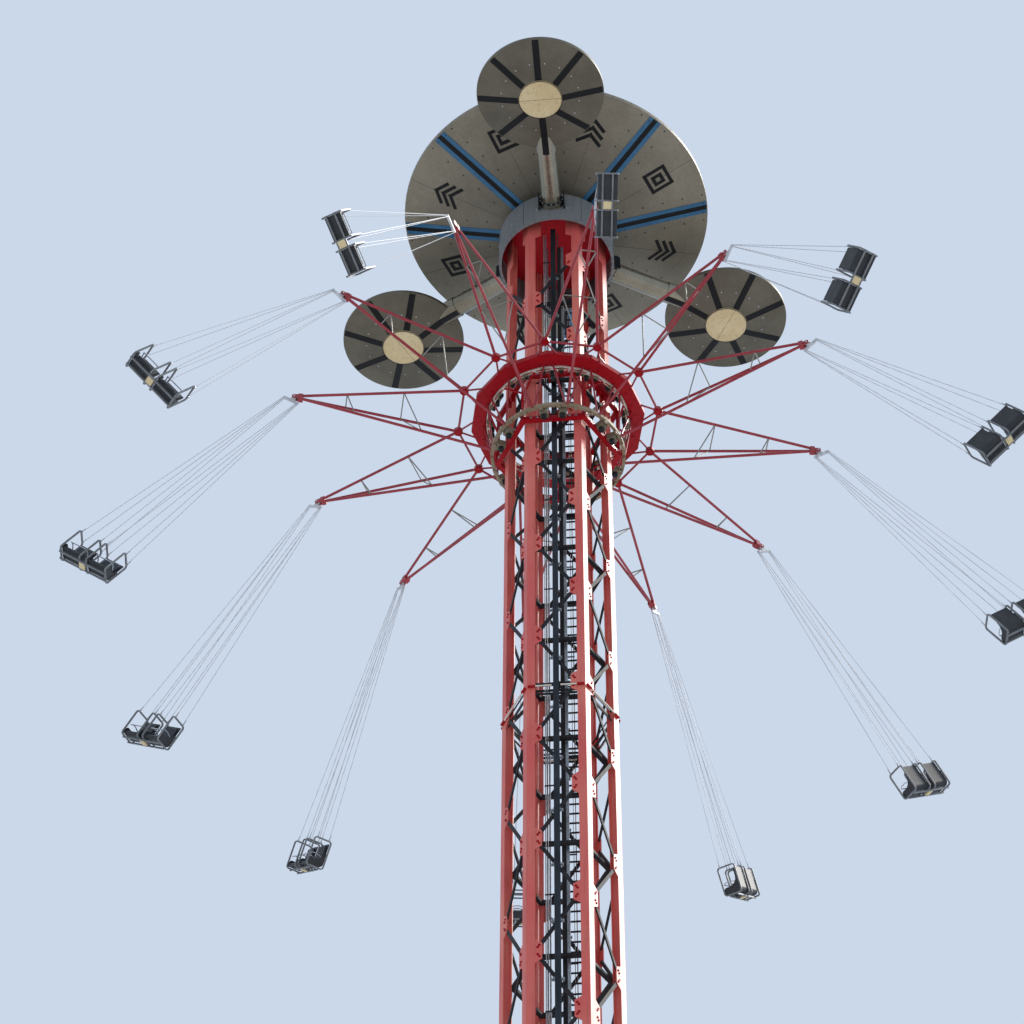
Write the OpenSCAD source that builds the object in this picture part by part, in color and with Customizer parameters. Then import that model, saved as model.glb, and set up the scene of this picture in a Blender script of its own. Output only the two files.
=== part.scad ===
// Tower swing ride, built at half the real size.
// Six folded-plate legs stand on a bolted flange and carry a drum and a big disc with three small
// ones. A carriage climbs the tower. Round it turns a rotor with twelve arms, and on each arm tip
// hangs a double chair on eight ropes. Directions round the tower (az) are counted in degrees from
// -Y towards +X. The origin is the middle of the base flange, on its underside.

/* [Tower] */
// Width of each of the six tower faces between two folded corners
face_w = 665; // [560:5:760]
// Height of the underside of the head drum above the ground
drum_z = 37511; // [34300:1:39000]
// Vertical pitch of the tabs along one leg
module_h = 1635; // [1300:5:2000]
// Height of the lowest tab
first_tab_z = 842; // [600:1:1100]
// Width of a leg's outer flange on each face
leg_flange_w = 92; // [70:1:115]
// Thickness of the folded plates
plate_t = 10; // [6:1:14]
// Depth of a leg from its outer to its inner flange
leg_depth = 90; // [60:1:120]
// Width of a leg's inner flange on each face
inner_flange_w = 95; // [90:1:120]
// How far a tab reaches in past the outer flange
tab_reach = 76; // [60:1:100]
// Height of a tab where it leaves the flange
tab_foot = 330; // [280:5:400]
// Height of a tab along its free edge
tab_edge = 220; // [160:5:270]
// Width of a diagonal flat bar
brace_w = 40; // [24:1:60]
// Thickness of a diagonal flat bar
brace_t = 18; // [10:1:26]
// Width of the guide rail in the middle of each face
rail_w = 66; // [40:1:90]
// Depth of the guide rail, from the back of the face plates outward
rail_d = 40; // [20:1:60]

/* [Foot] */
// Outer radius of the base flange
flange_r = 960; // [900:5:1100]
// Radius of the opening in the middle of the base flange
flange_hole_r = 380; // [250:5:440]
// Thickness of the base flange
flange_t = 50; // [30:1:80]
// Pitch circle radius of the anchor bolt holes
anchor_r = 880; // [850:1:900]
// Number of anchor bolt holes
anchor_n = 24; // [12:6:30]
// Radius of an anchor bolt hole
anchor_hole_r = 20; // [12:1:26]

/* [Head] */
// Outer radius of the head drum
drum_r = 775; // [720:1:860]
// Height of the head drum
drum_h = 556; // [460:1:640]
// Wall of the drum and the discs
skin_t = 14; // [8:1:20]
// Radius of the big disc
disc_r = 2073; // [1700:1:2300]
// Radius of the neck between the head drum and the big disc
neck_r = 600; // [540:1:700]
// Height of the neck
neck_h = 181; // [150:1:240]
// Rise of the big disc's underside from the neck to its rim
disc_rise = 386; // [300:1:460]
// Height of the rim band of the big disc
rim_h = 60; // [40:1:90]
// Rise of the big disc's roof from its rim to its crown
roof_rise = 230; // [150:1:300]
// Number of stripes under the big disc
stripe_n = 8; // [4:1:12]
// Width of a stripe under the big disc
stripe_w = 190; // [120:1:240]
// Height of the mast and lamp above the crown of the roof
mast_h = 420; // [200:1:560]
// Distance of a small disc's centre from the tower axis
small_disc_at = 2564; // [2450:1:2700]
// Radius of a small disc
small_disc_r = 830; // [700:1:880]
// Radius of the pale cap in the middle of a small disc
cap_r = 287; // [200:1:340]
// Drop from a small disc's rim to its cap
small_drop = 140; // [90:1:180]
// Outer radius of the tubes that carry the small discs
disc_arm_r = 132; // [110:1:150]
// How much thicker the sleeve is where such a tube enters its disc
sleeve_t = 12; // [8:1:20]

/* [Carriage and rotor] */
// Height of the rotor's gusset nodes above the ground, in the position shown
node_z = 34119; // [30000:1:34400]
// Radius of the ring of gusset nodes
node_r = 1275; // [1220:1:1320]
// Radius of the arm tips
tip_r = 3345; // [3000:1:3390]
// Drop from the gusset nodes to the arm tips
tip_drop = 71; // [0:1:200]
// Outer radius of the red band
band_r = 1106; // [1060:1:1150]
// Inner radius of the red band
band_in_r = 912; // [890:1:940]
// Drop from the gusset nodes to the top of the lower ring
lower_drop = 690; // [600:1:760]
// Middle radius of the lower ring
lower_ring_r = 825; // [815:1:850]
// Azimuth of the first arm
arm_az = 12.4; // [0:0.1:30]
// Radius of the arm chords
chord_r = 18; // [14:1:24]
// Radius of the thin bracing tubes in the arms
lace_r = 8; // [5:1:9]
// Distance from a roller or bearing face to the face it runs on
run_gap = 0.3; // [0.2:0.1:1]

/* [Swings] */
// Angle at which the chairs fly out from the vertical, in the position shown
fly_angle = 35; // [0:1:48]
// Angle by which the chairs trail behind their arms
trail_angle = 6; // [0:0.5:10]
// Length of the ropes from the spreader down to the chair frame
rope_drop = 3560; // [3000:5:3900]
// Length of the spreader bar
spreader_w = 230; // [160:1:320]
// Radius of a rope
rope_r = 4; // [3:0.5:7]
// Radius of the pivot pin at the arm tip
pin_r = 12; // [8:1:16]
// Inside width of one chair
chair_w = 250; // [200:1:300]
// Depth of a chair's pan from front to back
pan_d = 215; // [160:1:260]
// Height of a chair's back above the pan
back_h = 330; // [240:1:380]
// Gap between the two chairs
chair_gap = 120; // [90:1:160]
// Thickness of the hoops and cross bars of the chair frame
hoop_t = 18; // [12:1:24]
// Wall of a moulded chair
shell_t = 12; // [8:1:16]
// Height of a chair's side wings at the front
wing_h = 90; // [50:1:120]

/* [Hidden] */
$fn = 48;
FACES = 6;
ARMS = 12;
corner_r = face_w;
face_a = face_w * cos(30);
half_face = face_w / 2;
tab_end = leg_flange_w + tab_reach;
ceiling_gap = 70;
ceiling_t = 40;
leg_top_z = drum_z + drum_h - ceiling_gap;
top_tab_drop = 500;
tab_count = floor((drum_z - top_tab_drop - first_tab_z) / (module_h / 2)) + 1;
tab_inset = 26;
inner_a = face_a - leg_depth - plate_t;
tie_w = 50;
seat_gap = 0.3;

drum_top_z = drum_z + drum_h;
neck_top_z = drum_top_z + neck_h;
rim_z = neck_top_z + disc_rise;
disc_slope = atan(disc_rise / (disc_r - neck_r));
crown_r = 400;
crown_z = rim_z + rim_h + roof_rise;
small_n = 3;
small_rim_lift = 254;
arm_tube_lift = 90;
small_rim_z = drum_z + small_rim_lift;
arm_tube_z = small_rim_z + arm_tube_lift;

tip_z = node_z - tip_drop;
lower_z = node_z - lower_drop;
band_z = node_z - 34;
band_h = 70;
band_turn = arm_az - 75;
frame_bar = 60;
frame_clear = 18;
frame_in_a = face_a - plate_t + rail_d + frame_clear;
frame_out_a = frame_in_a + frame_bar;
frame_below = 110;
frame_above = 90;
frame_low_z = lower_z - frame_below;
frame_top_z = node_z + frame_above;
roller_r = 44;
roller_a = face_a - plate_t + rail_d + run_gap + roller_r;

spreader_h = 30;
rope_top_z = -55 - spreader_h;
chair_top_z = rope_top_z - rope_drop;
chair_y = chair_gap / 2 + chair_w / 2 + shell_t;
pan_z = chair_top_z - back_h - 25;
hoop_y = chair_w / 2 + shell_t + seat_gap + hoop_t / 2;
hoop_w = pan_d + 2 * hoop_t;
hoop_h = back_h + 60;
hoop_corner = 42;

// Point at radius r, direction az and height z
function at(r, az, z) = [r * sin(az), -r * cos(az), z];
function leg_az(i) = -30 + 60 * i;
function tab_z(i) = first_tab_z + i * module_h / 2;

// Six-sided ring of mitred bars with a flat side towards -Y, given by the distances of its sides from
// the axis; a seam of the seat gap parts the bars
module hex_tube(outer_a, in_a, h) {
    seam = seat_gap / 2 / cos(30);
    for (i = [0:FACES - 1])
        rotate([0, 0, 60 * i])
            linear_extrude(h)
                polygon([[seam - outer_a * tan(30), -outer_a], [outer_a * tan(30) - seam, -outer_a],
                         [in_a * tan(30) - seam, -in_a], [seam - in_a * tan(30), -in_a]]);
}

// Thin radial cuts that part a ring into equal segments
module seam_cuts(n, turn, r, z, h) {
    for (i = [0:n - 1])
        rotate([0, 0, turn + i * 360 / n])
            translate([-seat_gap / 2, -r, z])
                cube([seat_gap, r, h]);
}

// Straight bar of a few flat sides between two points
module bar(p, q, r, sides = 8) {
    v = q - p;
    len = norm(v);
    translate(p)
        rotate([0, acos(v[2] / len), atan2(v[1], v[0])])
            cylinder(h = len, r = r, $fn = sides);
}

// Flat bar in the plane of a face, from [x, z] to [x, z], with its outer side at depth y
module flat_bar(p, q, y, w, t) {
    d = q - p;
    translate([p[0], y, p[1]])
        rotate([0, -atan2(d[1], d[0]), 0])
            translate([0, 0, -w / 2])
                cube([norm(d), t, w]);
}

// Places its children in a face's own frame: x from the corner along the face, y inward
module from_corner(side) {
    mirror([side < 0 ? 1 : 0, 0, 0])
        translate([0, -corner_r, 0])
            rotate([0, 0, 30])
                children();
}

// Triangular rib that stiffens the foot of a leg, its inner end still uncut
foot_rib_x = 60;
foot_rib_h = 300;
foot_rib_top = 25;
foot_rib_toe_h = 60;
bolt_room = 30;
module foot_rib_outline() {
    inner = -corner_r + foot_rib_x;
    toe = -anchor_r + anchor_hole_r + bolt_room;
    polygon([[toe, 0], [inner, 0], [inner, foot_rib_h], [-corner_r - foot_rib_top, foot_rib_h],
             [toe, foot_rib_toe_h]]);
}

module base_flange() {
    color("#8c2f33")
        difference() {
            union() {
                cylinder(h = flange_t, r = flange_r, $fn = 96);
                for (i = [0:FACES - 1])
                    rotate([0, 0, leg_az(i)])
                        for (s = [-1, 1])
                            translate([s * foot_rib_x - plate_t / 2, 0, flange_t])
                                rotate([90, 0, 90])
                                    linear_extrude(plate_t)
                                        foot_rib_outline();
            }
            translate([0, 0, flange_t])
                cylinder(h = 400, r = corner_r + seat_gap, $fn = 6);
            translate([0, 0, -1])
                cylinder(h = flange_t + 2, r = flange_hole_r, $fn = 96);
            for (i = [0:anchor_n - 1])
                rotate([0, 0, (i + 0.5) * 360 / anchor_n])
                    translate([0, -anchor_r, -1])
                        cylinder(h = flange_t + 2, r = anchor_hole_r, $fn = 32);
        }
}

// Half of a leg's folded section, on one of its two faces; the two halves overlap at the fold
module leg_half_section() {
    fold_x = leg_depth / tan(60);
    square([leg_flange_w, plate_t]);
    translate([leg_flange_w - 3 * plate_t, plate_t - 1])
        square([plate_t, leg_depth - plate_t + 2]);
    translate([fold_x, leg_depth])
        square([inner_flange_w - fold_x, plate_t]);
}

module tab(z) {
    translate([0, plate_t, z])
        rotate([90, 0, 0])
            linear_extrude(plate_t)
                polygon([[leg_flange_w - 1, -tab_foot / 2], [tab_end, -tab_edge / 2],
                         [tab_end, tab_edge / 2], [leg_flange_w - 1, tab_foot / 2]]);
}

// Wide plate at the top of a leg, by which it is bolted into the drum
module head_plate() {
    taper = tab_reach / 2;
    low = drum_z - tab_edge / 2;
    translate([0, plate_t, 0])
        rotate([90, 0, 0])
            linear_extrude(plate_t)
                polygon([[leg_flange_w - 1, low - taper], [tab_end, low], [tab_end, leg_top_z],
                         [leg_flange_w - 1, leg_top_z]]);
}

// Legs 1, 3 and 5 have their tabs half a pitch above those of legs 2, 4 and 6
module leg(i) {
    color("#b5585a")
        rotate([0, 0, leg_az(i - 1)])
            for (s = [-1, 1])
                from_corner(s) {
                    translate([0, 0, flange_t])
                        linear_extrude(leg_top_z - flange_t)
                            leg_half_section();
                    for (k = [0:tab_count - 1])
                        if (k % 2 == i % 2)
                            tab(tab_z(k));
                    head_plate();
                }
}

// Zigzag of flat bars from tab to tab, bolted behind the tabs and the rail
module bracing(i) {
    x_end = half_face - tab_end + tab_inset;
    z_end = tab_edge / 2 - tab_inset;
    color("#22242a")
        rotate([0, 0, 60 * (i - 1)])
            for (k = [0:tab_count - 2]) {
                side = k % 2 == i % 2 ? -1 : 1;
                flat_bar([side * x_end, tab_z(k) + z_end], [-side * x_end, tab_z(k + 1) - z_end],
                         -face_a + plate_t, brace_w, brace_t);
            }
}

module guide_rails() {
    color("#2b3036")
        for (i = [0:FACES - 1])
            rotate([0, 0, 60 * i])
                translate([-rail_w / 2, -face_a + plate_t - rail_d, flange_t])
                    cube([rail_w, rail_d, drum_z - flange_t - 20]);
}

ladder_x = 118;
ladder_w = 200;
stile_w = 12;
stile_d = 30;
rung_t = 16;
rung_pitch = 150;
module ladder() {
    ladder_y = inner_a - tie_w - stile_d / 2;
    top_z = drum_z - 60;
    color("#9aa0a3")
        translate([ladder_x, ladder_y, 0]) {
            for (s = [-1, 1])
                translate([(s * ladder_w - stile_w) / 2, -stile_d / 2, flange_t])
                    cube([stile_w, stile_d, top_z - flange_t]);
            for (z = [flange_t + rung_pitch:rung_pitch:top_z - rung_t])
                translate([(stile_w - ladder_w) / 2, -rung_t / 2, z])
                    cube([ladder_w - stile_w, rung_t, rung_t]);
        }
}

// Four hoist ropes run taut from the foot to the head, in two pairs
hoist_rope_r = 10;
hoist_rope_at = 158;
module hoist_ropes() {
    color("#b9bdc0")
        for (az = [-125, -65, 10, 170])
            translate(at(hoist_rope_at, az, flange_t))
                cylinder(h = leg_top_z - flange_t, r = hoist_rope_r, $fn = 8);
}

// Cross frames inside the tower that tie the legs and hold the ladder
tie_h = 40;
module inner_frames() {
    color("#3a2226")
        for (k = [1:2:tab_count - 1])
            translate([0, 0, tab_z(k)])
                hex_tube(inner_a - seat_gap, inner_a - tie_w, tie_h);
}

// Drum with an inward flange round its lower edge, a flat top and the neck that the big disc sits on
module head_drum() {
    lip = 36;
    inner_r = drum_r - skin_t;
    color("#5d6670")
        revolved([[drum_r - lip, drum_z], [drum_r, drum_z], [drum_r, drum_top_z], [neck_r, drum_top_z],
                  [neck_r, neck_top_z], [neck_r - skin_t, neck_top_z],
                  [neck_r - skin_t, drum_top_z - skin_t], [inner_r, drum_top_z - skin_t],
                  [inner_r, drum_z + skin_t], [drum_r - lip, drum_z + skin_t]]);
}

module head_ceiling() {
    color("#7a0f1c")
        translate([0, 0, leg_top_z])
            cylinder(h = ceiling_t, r = drum_r - skin_t - seat_gap, $fn = 96);
}

// Closed outline of a shell between a lower and an upper line, revolved about the axis
module revolved(points) {
    rotate_extrude($fn = 96)
        polygon(points);
}

module main_disc() {
    lip = skin_t / cos(disc_slope);
    seat_r = neck_r - 60;
    color("#6e6a5f")
        revolved([[seat_r, neck_top_z], [neck_r, neck_top_z], [disc_r, rim_z], [disc_r, rim_z + rim_h],
                  [crown_r, crown_z], [crown_r, crown_z - lip], [disc_r - skin_t, rim_z + rim_h - lip],
                  [disc_r - skin_t, rim_z + lip], [neck_r, neck_top_z + lip], [seat_r, neck_top_z + lip]]);
}

// Raised stripes that follow the cone under the big disc
module disc_stripes() {
    stripe_t = 6;
    g = seat_gap / cos(disc_slope);
    h = stripe_t / cos(disc_slope);
    end_gap = 12;
    r0 = neck_r + end_gap;
    r1 = disc_r - end_gap;
    z0 = neck_top_z + (r0 - neck_r) * tan(disc_slope);
    z1 = neck_top_z + (r1 - neck_r) * tan(disc_slope);
    color("#1d1f22")
        for (i = [0:stripe_n - 1])
            intersection() {
                revolved([[r0, z0 - g - h], [r1, z1 - g - h], [r1, z1 - g], [r0, z0 - g]]);
                rotate([0, 0, i * 360 / stripe_n])
                    translate([-stripe_w / 2, -disc_r, drum_z])
                        cube([stripe_w, disc_r, crown_z - drum_z]);
            }
}

module disc_arm_solid(grow, from_r, to_r) {
    translate([0, -from_r, arm_tube_z])
        rotate([90, 0, 0])
            cylinder(h = to_r - from_r, r = disc_arm_r + grow);
}

// Tubes that carry the small discs, each with a foot collar at the drum and a sleeve at its disc
module disc_arms() {
    collar_w = 60;
    collar_t = 26;
    sleeve_out = 95;
    rim_at = small_disc_at - small_disc_r;
    color("#8d8c84")
        for (i = [0:small_n - 1])
            rotate([0, 0, i * 360 / small_n])
                difference() {
                    union() {
                        disc_arm_solid(0, drum_r - 40, small_disc_at - cap_r);
                        disc_arm_solid(collar_t, drum_r - 40, drum_r + collar_w);
                        disc_arm_solid(sleeve_t, rim_at - sleeve_out, small_disc_at - cap_r);
                    }
                    cylinder(h = 2 * drum_top_z, r = drum_r + seat_gap, center = true, $fn = 96);
                    disc_arm_solid(-skin_t, 0, small_disc_at);
                }
}

module small_disc() {
    roof_over = 40;
    small_rim_h = 50;
    top_z = arm_tube_z + disc_arm_r + sleeve_t + roof_over;
    lip = skin_t / cos(atan(small_drop / (small_disc_r - cap_r)));
    translate([0, -small_disc_at, 0])
        revolved([[cap_r, small_rim_z - small_drop], [small_disc_r, small_rim_z],
                  [small_disc_r, small_rim_z + small_rim_h], [cap_r, top_z], [0, top_z], [0, top_z - lip],
                  [cap_r - 20, top_z - lip], [small_disc_r - skin_t, small_rim_z + small_rim_h - lip],
                  [small_disc_r - skin_t, small_rim_z + lip], [cap_r, small_rim_z - small_drop + lip]]);
}

module small_discs() {
    color("#6e6a5f")
        for (i = [0:small_n - 1])
            rotate([0, 0, i * 360 / small_n])
                difference() {
                    small_disc();
                    disc_arm_solid(sleeve_t + seat_gap, 0, small_disc_at - cap_r + 1);
                }
}

module disc_caps() {
    color("#c8b68c")
        for (i = [0:small_n - 1])
            rotate([0, 0, i * 360 / small_n])
                translate([0, -small_disc_at, small_rim_z - small_drop - 12])
                    cylinder(h = 12 + skin_t, r = cap_r - seat_gap);
}

// Crown plate, mast, lamp plate and lamp, one on top of the other
module mast_head() {
    mast_r = 60;
    plate_r = 100;
    lamp_h = 110;
    plate_h = 20;
    lamp_z = crown_z + mast_h - lamp_h - plate_h;
    color("#8d8c84") {
        translate([0, 0, crown_z - 30])
            cylinder(h = 40, r = crown_r - seat_gap);
        translate([0, 0, crown_z + 10 + seat_gap])
            cylinder(h = lamp_z - crown_z - 10 - 2 * seat_gap, r = mast_r);
        translate([0, 0, lamp_z])
            cylinder(h = plate_h, r = plate_r);
        translate([0, 0, lamp_z + plate_h + seat_gap])
            cylinder(h = lamp_h - seat_gap, r = mast_r);
    }
}

// Carriage: two six-sided frames joined by corner posts, forks for the rollers, and struts that reach
// out to the bearing ring
post_w = 40;
fork_t = 16;
fork_gap = 84;
fork_h = 100;
strut_r = 14;
roller_zs = [frame_low_z + frame_bar + 60, frame_top_z - 60];
post_a = (frame_in_a + frame_bar / 2) / cos(30);
module post(grow) {
    z0 = frame_low_z + frame_bar + seat_gap - grow;
    translate([-post_w / 2 - grow, -post_a - post_w / 2 - grow, z0])
        cube([post_w + 2 * grow, post_w + 2 * grow, frame_top_z - seat_gap + grow - z0]);
}

module carriage_frame() {
    strut_drop = 160;
    strut_in = 10;
    strut_rise = 4;
    color("#8a1220") {
        for (z = [frame_low_z, frame_top_z])
            translate([0, 0, z])
                hex_tube(frame_out_a, frame_in_a, frame_bar);
        for (i = [0:FACES - 1])
            rotate([0, 0, leg_az(i)])
                post(0);
        for (i = [0:FACES - 1])
            rotate([0, 0, 60 * i])
                for (x = [-fork_gap / 2 - fork_t, fork_gap / 2])
                    for (z = [frame_low_z + frame_bar + seat_gap, frame_top_z - fork_h - seat_gap])
                        translate([x, -frame_out_a, z])
                            cube([fork_t, frame_bar, fork_h]);
        difference() {
            for (i = [0:ARMS - 1])
                bar(at(bearing_in_r + strut_r, 15 + 30 * i, bearing_z + strut_rise),
                    at(post_a - strut_in, 30 + 60 * floor(i / 2), bearing_z - strut_drop), strut_r);
            translate([0, 0, bearing_z - seat_gap])
                cylinder(h = bearing_h, r = bearing_out_r, $fn = 96);
            for (i = [0:FACES - 1])
                rotate([0, 0, leg_az(i)])
                    post(seat_gap);
        }
    }
}

module guide_rollers() {
    tread_w = 60;
    axle_r = 12;
    color("#30343a")
        for (i = [0:FACES - 1])
            rotate([0, 0, 60 * i])
                for (z = roller_zs)
                    translate([0, -roller_a, z])
                        rotate([0, 90, 0]) {
                            cylinder(h = tread_w, r = roller_r, center = true);
                            cylinder(h = fork_gap - 2 * seat_gap, r = axle_r, center = true);
                        }
}

// Fixed ring that the rotor turns round, with a row of slots in its outer face
bearing_in_r = 862;
bearing_out_r = band_in_r - 7;
bearing_z = node_z - 59;
bearing_h = 80;
slot_n = 24;
slot_w = 100;
slot_h = 30;
slot_d = 30;
module bearing_ring() {
    color("#d8d2c4")
        difference() {
            translate([0, 0, bearing_z])
                cylinder(h = bearing_h, r = bearing_out_r, $fn = 96);
            translate([0, 0, bearing_z - 1])
                cylinder(h = bearing_h + 2, r = bearing_in_r, $fn = 96);
            for (i = [0:slot_n - 1])
                rotate([0, 0, i * 360 / slot_n])
                    translate([-slot_w / 2, -bearing_out_r - 1, bearing_z + (bearing_h - slot_h) / 2])
                        cube([slot_w, slot_d + 1, slot_h]);
            seam_cuts(slot_n / 2, 360 / slot_n / 2, bearing_out_r + 1, bearing_z - 1, bearing_h + 2);
        }
}

// Small maintenance deck with a rail, on the carriage's upper frame
module service_rail() {
    z0 = frame_top_z + frame_bar + seat_gap;
    deck_w = 500;
    deck_t = 10;
    deck_out = frame_out_a + 130;
    post = 18;
    rail_h = 371;
    color("#a83238")
        rotate([0, 0, 60]) {
            translate([-deck_w / 2, -deck_out, z0])
                cube([deck_w, deck_out - frame_in_a, deck_t]);
            for (x = [-deck_w / 2, -post / 2, deck_w / 2 - post])
                translate([x, -deck_out, z0 + deck_t + seat_gap])
                    cube([post, post, rail_h]);
            for (z = [deck_t + rail_h / 2, deck_t + rail_h - post])
                translate([-deck_w / 2, -deck_out + post + seat_gap, z0 + z])
                    cube([deck_w, post, post]);
        }
}

// Twelve-sided red channel round the bearing ring, with the collar that rests on the ring, in segments
module rotor_band() {
    wall = 12;
    lip_r = bearing_in_r + 16;
    lip_z = bearing_z + bearing_h + run_gap;
    color("#7e0c18")
        difference() {
            union() {
                translate([0, 0, band_z])
                    rotate([0, 0, band_turn])
                        cylinder(h = band_h, r = band_r, $fn = 12);
                translate([0, 0, band_z + 1])
                    cylinder(h = lip_z + wall - band_z - 1, r = band_in_r + wall, $fn = 96);
            }
            difference() {
                translate([0, 0, band_z + wall])
                    rotate([0, 0, band_turn])
                        cylinder(h = band_h, r = band_r - wall, $fn = 12);
                translate([0, 0, band_z])
                    cylinder(h = 3 * band_h, r = band_in_r + wall, $fn = 96);
            }
            translate([0, 0, band_z - 1])
                cylinder(h = lip_z - band_z + 1, r = band_in_r, $fn = 96);
            translate([0, 0, band_z])
                cylinder(h = 3 * band_h, r = lip_r, $fn = 96);
            seam_cuts(ARMS, band_turn, band_r + 1, band_z - 2, 3 * band_h);
        }
}

ring_w = 40;
module lower_ring() {
    ring_h = 50;
    color("#9a8f7c") {
        difference() {
            translate([0, 0, lower_z - ring_h])
                cylinder(h = ring_h, r = lower_ring_r + ring_w / 2, $fn = 96);
            translate([0, 0, lower_z - ring_h - 1])
                cylinder(h = ring_h + 2, r = lower_ring_r - ring_w / 2, $fn = 96);
            seam_cuts(ARMS, arm_az + 15, lower_ring_r + ring_w, lower_z - ring_h - 1, ring_h + 2);
        }
        translate([0, 0, lower_z - ring_h - seat_gap])
            ring_brackets();
    }
}

gusset_r = 60;
gusset_h = 50;
ring_tube_r = 15;
brace_tube_r = 12;
module gusset(az, r, h) {
    translate(at(node_r, az, node_z - h / 2))
        rotate([0, 0, az])
            cylinder(h = h, r = r, $fn = 8);
}

// Brackets that hang under the lower ring
bracket_w = 44;
bracket_h = 34;
module ring_brackets() {
    for (i = [0:2 * ARMS - 1])
        rotate([0, 0, arm_az + 7.5 + 15 * i])
            translate([-bracket_w / 2, -lower_ring_r - ring_w / 2 + 6, -bracket_h])
                cube([bracket_w, ring_w - 12, bracket_h]);
}

// Ring of straight tubes between twelve gusset nodes, struts to the band and struts down to the ring.
// Every tube stops a seat gap short of what it is welded to.
foot_spread = 1.2;
brace_spread = 7;
brace_in = 40;
brace_lift = 30;
strut_spread = 12;
strut_out = 30;
strut_lift = 20;
module rotor_struts() {
    color("#a83238")
        for (i = [0:ARMS - 1]) {
            az = arm_az + 15 + 30 * i;
            gusset(az, gusset_r, gusset_h);
            difference() {
                union() {
                    bar(at(node_r, az, node_z), at(node_r, az + 30, node_z), ring_tube_r);
                    for (s = [-1, 1])
                        bar(at(node_r, az, node_z),
                            at(band_r - brace_in, az + brace_spread * s, band_z + brace_lift), brace_tube_r);
                }
                gusset(az, gusset_r + seat_gap, 4 * gusset_h);
                gusset(az + 30, gusset_r + seat_gap, 4 * gusset_h);
                translate([0, 0, band_z - 10])
                    rotate([0, 0, band_turn])
                        cylinder(h = band_h + 20, r = band_r + seat_gap, $fn = 12);
            }
            for (s = [-1, 1])
                intersection() {
                    bar(at(lower_ring_r, arm_az + 30 * i + foot_spread * s, lower_z - strut_lift),
                        at(band_in_r + strut_out, arm_az + 30 * i + strut_spread * s, band_z + strut_lift),
                        brace_tube_r);
                    translate([0, 0, lower_z + seat_gap])
                        cylinder(h = band_z - lower_z - 2 * seat_gap, r = band_r, $fn = 48);
                }
        }
}

// Distance from an arm's end block to the pin, the block's reach to either side of its middle, and where
// along the arm its bracing triangles stand
tip_block = 90;
block_out = 20;
block_in = 40;
chord_apart = 4;
lace_places = [0.37, 0.72];
fork_inner = 20;
lug_t = 14;
lug_r = 30;
// Place of each chord's end on the end block, as [x, z] from its middle
chord_ends = [[-chord_r - chord_apart, chord_r], [chord_r + chord_apart, chord_r],
              [0, -chord_r + 2 * chord_apart]];
function mix(p, q, t) = p + (q - p) * t;
function beside(az, e, p) = p + [e[0] * cos(az), e[0] * sin(az), e[1]];
function arm_feet(az) = [at(node_r, az - 15, node_z), at(node_r, az + 15, node_z),
                         at(lower_ring_r, az, lower_z - 25)];
function arm_chords(az) = [for (k = [0:2])
    [arm_feet(az)[k], beside(az, chord_ends[k], at(tip_r - tip_block, az, tip_z))]];

module end_block(az, grow) {
    half_w = 2 * (chord_r + chord_apart);
    low = chord_ends[2][1] - chord_r - chord_apart;
    high = chord_ends[0][1] + chord_r + chord_apart;
    translate(at(tip_r - tip_block, az, tip_z))
        rotate([0, 0, az])
            translate([-half_w - grow, -block_in - grow, low - grow])
                cube([2 * (half_w + grow), block_in + block_out + 2 * grow, high - low + 2 * grow]);
}

// Triangular arm: three chords, triangles of thin tubes between them, end block and fork
module arm(az) {
    chords = arm_chords(az);
    for (c = chords)
        difference() {
            bar(c[0], c[1], chord_r);
            end_block(az, seat_gap);
        }
    for (t = lace_places)
        for (k = [0:2]) {
            a = chords[k];
            b = chords[(k + 1) % 3];
            difference() {
                bar(mix(a[0], a[1], t), mix(b[0], b[1], t), lace_r);
                bar(a[0], a[1], chord_r + seat_gap);
                bar(b[0], b[1], chord_r + seat_gap);
            }
        }
    end_block(az, 0);
    difference() {
        translate(at(tip_r, az, tip_z))
            rotate([0, 0, az - trail_angle])
                fork();
        end_block(az, seat_gap);
    }
}

// Two lugs with rounded ends that hold the pin, reaching back to the arm's end block
module fork() {
    reach = tip_block - 8;
    difference() {
        for (s = [-1, 1])
            translate([s * (fork_inner + lug_t / 2) - lug_t / 2, 0, 0]) {
                translate([0, 0, -lug_r])
                    cube([lug_t, reach, 2 * lug_r]);
                rotate([0, 90, 0])
                    cylinder(h = lug_t, r = lug_r);
            }
        rotate([0, 90, 0])
            cylinder(h = 2 * spreader_w, r = pin_r + seat_gap, center = true);
    }
}

// Three neighbouring arms; their chords end at the gusset nodes and at the lower ring
module arms(group) {
    first = 3 * (group - 1);
    color("#a83238")
        difference() {
            for (k = [first:first + 2])
                arm(arm_az + 30 * k);
            for (k = [first:first + 3])
                gusset(arm_az - 15 + 30 * k, gusset_r + seat_gap, 200);
            translate([0, 0, lower_z - 200])
                cylinder(h = 300, r = lower_ring_r + ring_w / 2 + seat_gap, $fn = 96);
        }
}

// Places its children in a swing's own frame: pivot at the origin, -Z along the ropes, -Y outward
module in_swing(i) {
    translate(at(tip_r, arm_az + 30 * (i - 1), tip_z))
        rotate([0, 0, arm_az + 30 * (i - 1) - trail_angle])
            rotate([-fly_angle, 0, 0])
                children();
}

rope_x = hoop_w / 2 - hoop_corner - 2;
function rope_ends(s) = [for (x = [-rope_x, rope_x]) for (y = [-1, 1])
    [x, s * chair_y + y * hoop_y, chair_top_z]];

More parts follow.
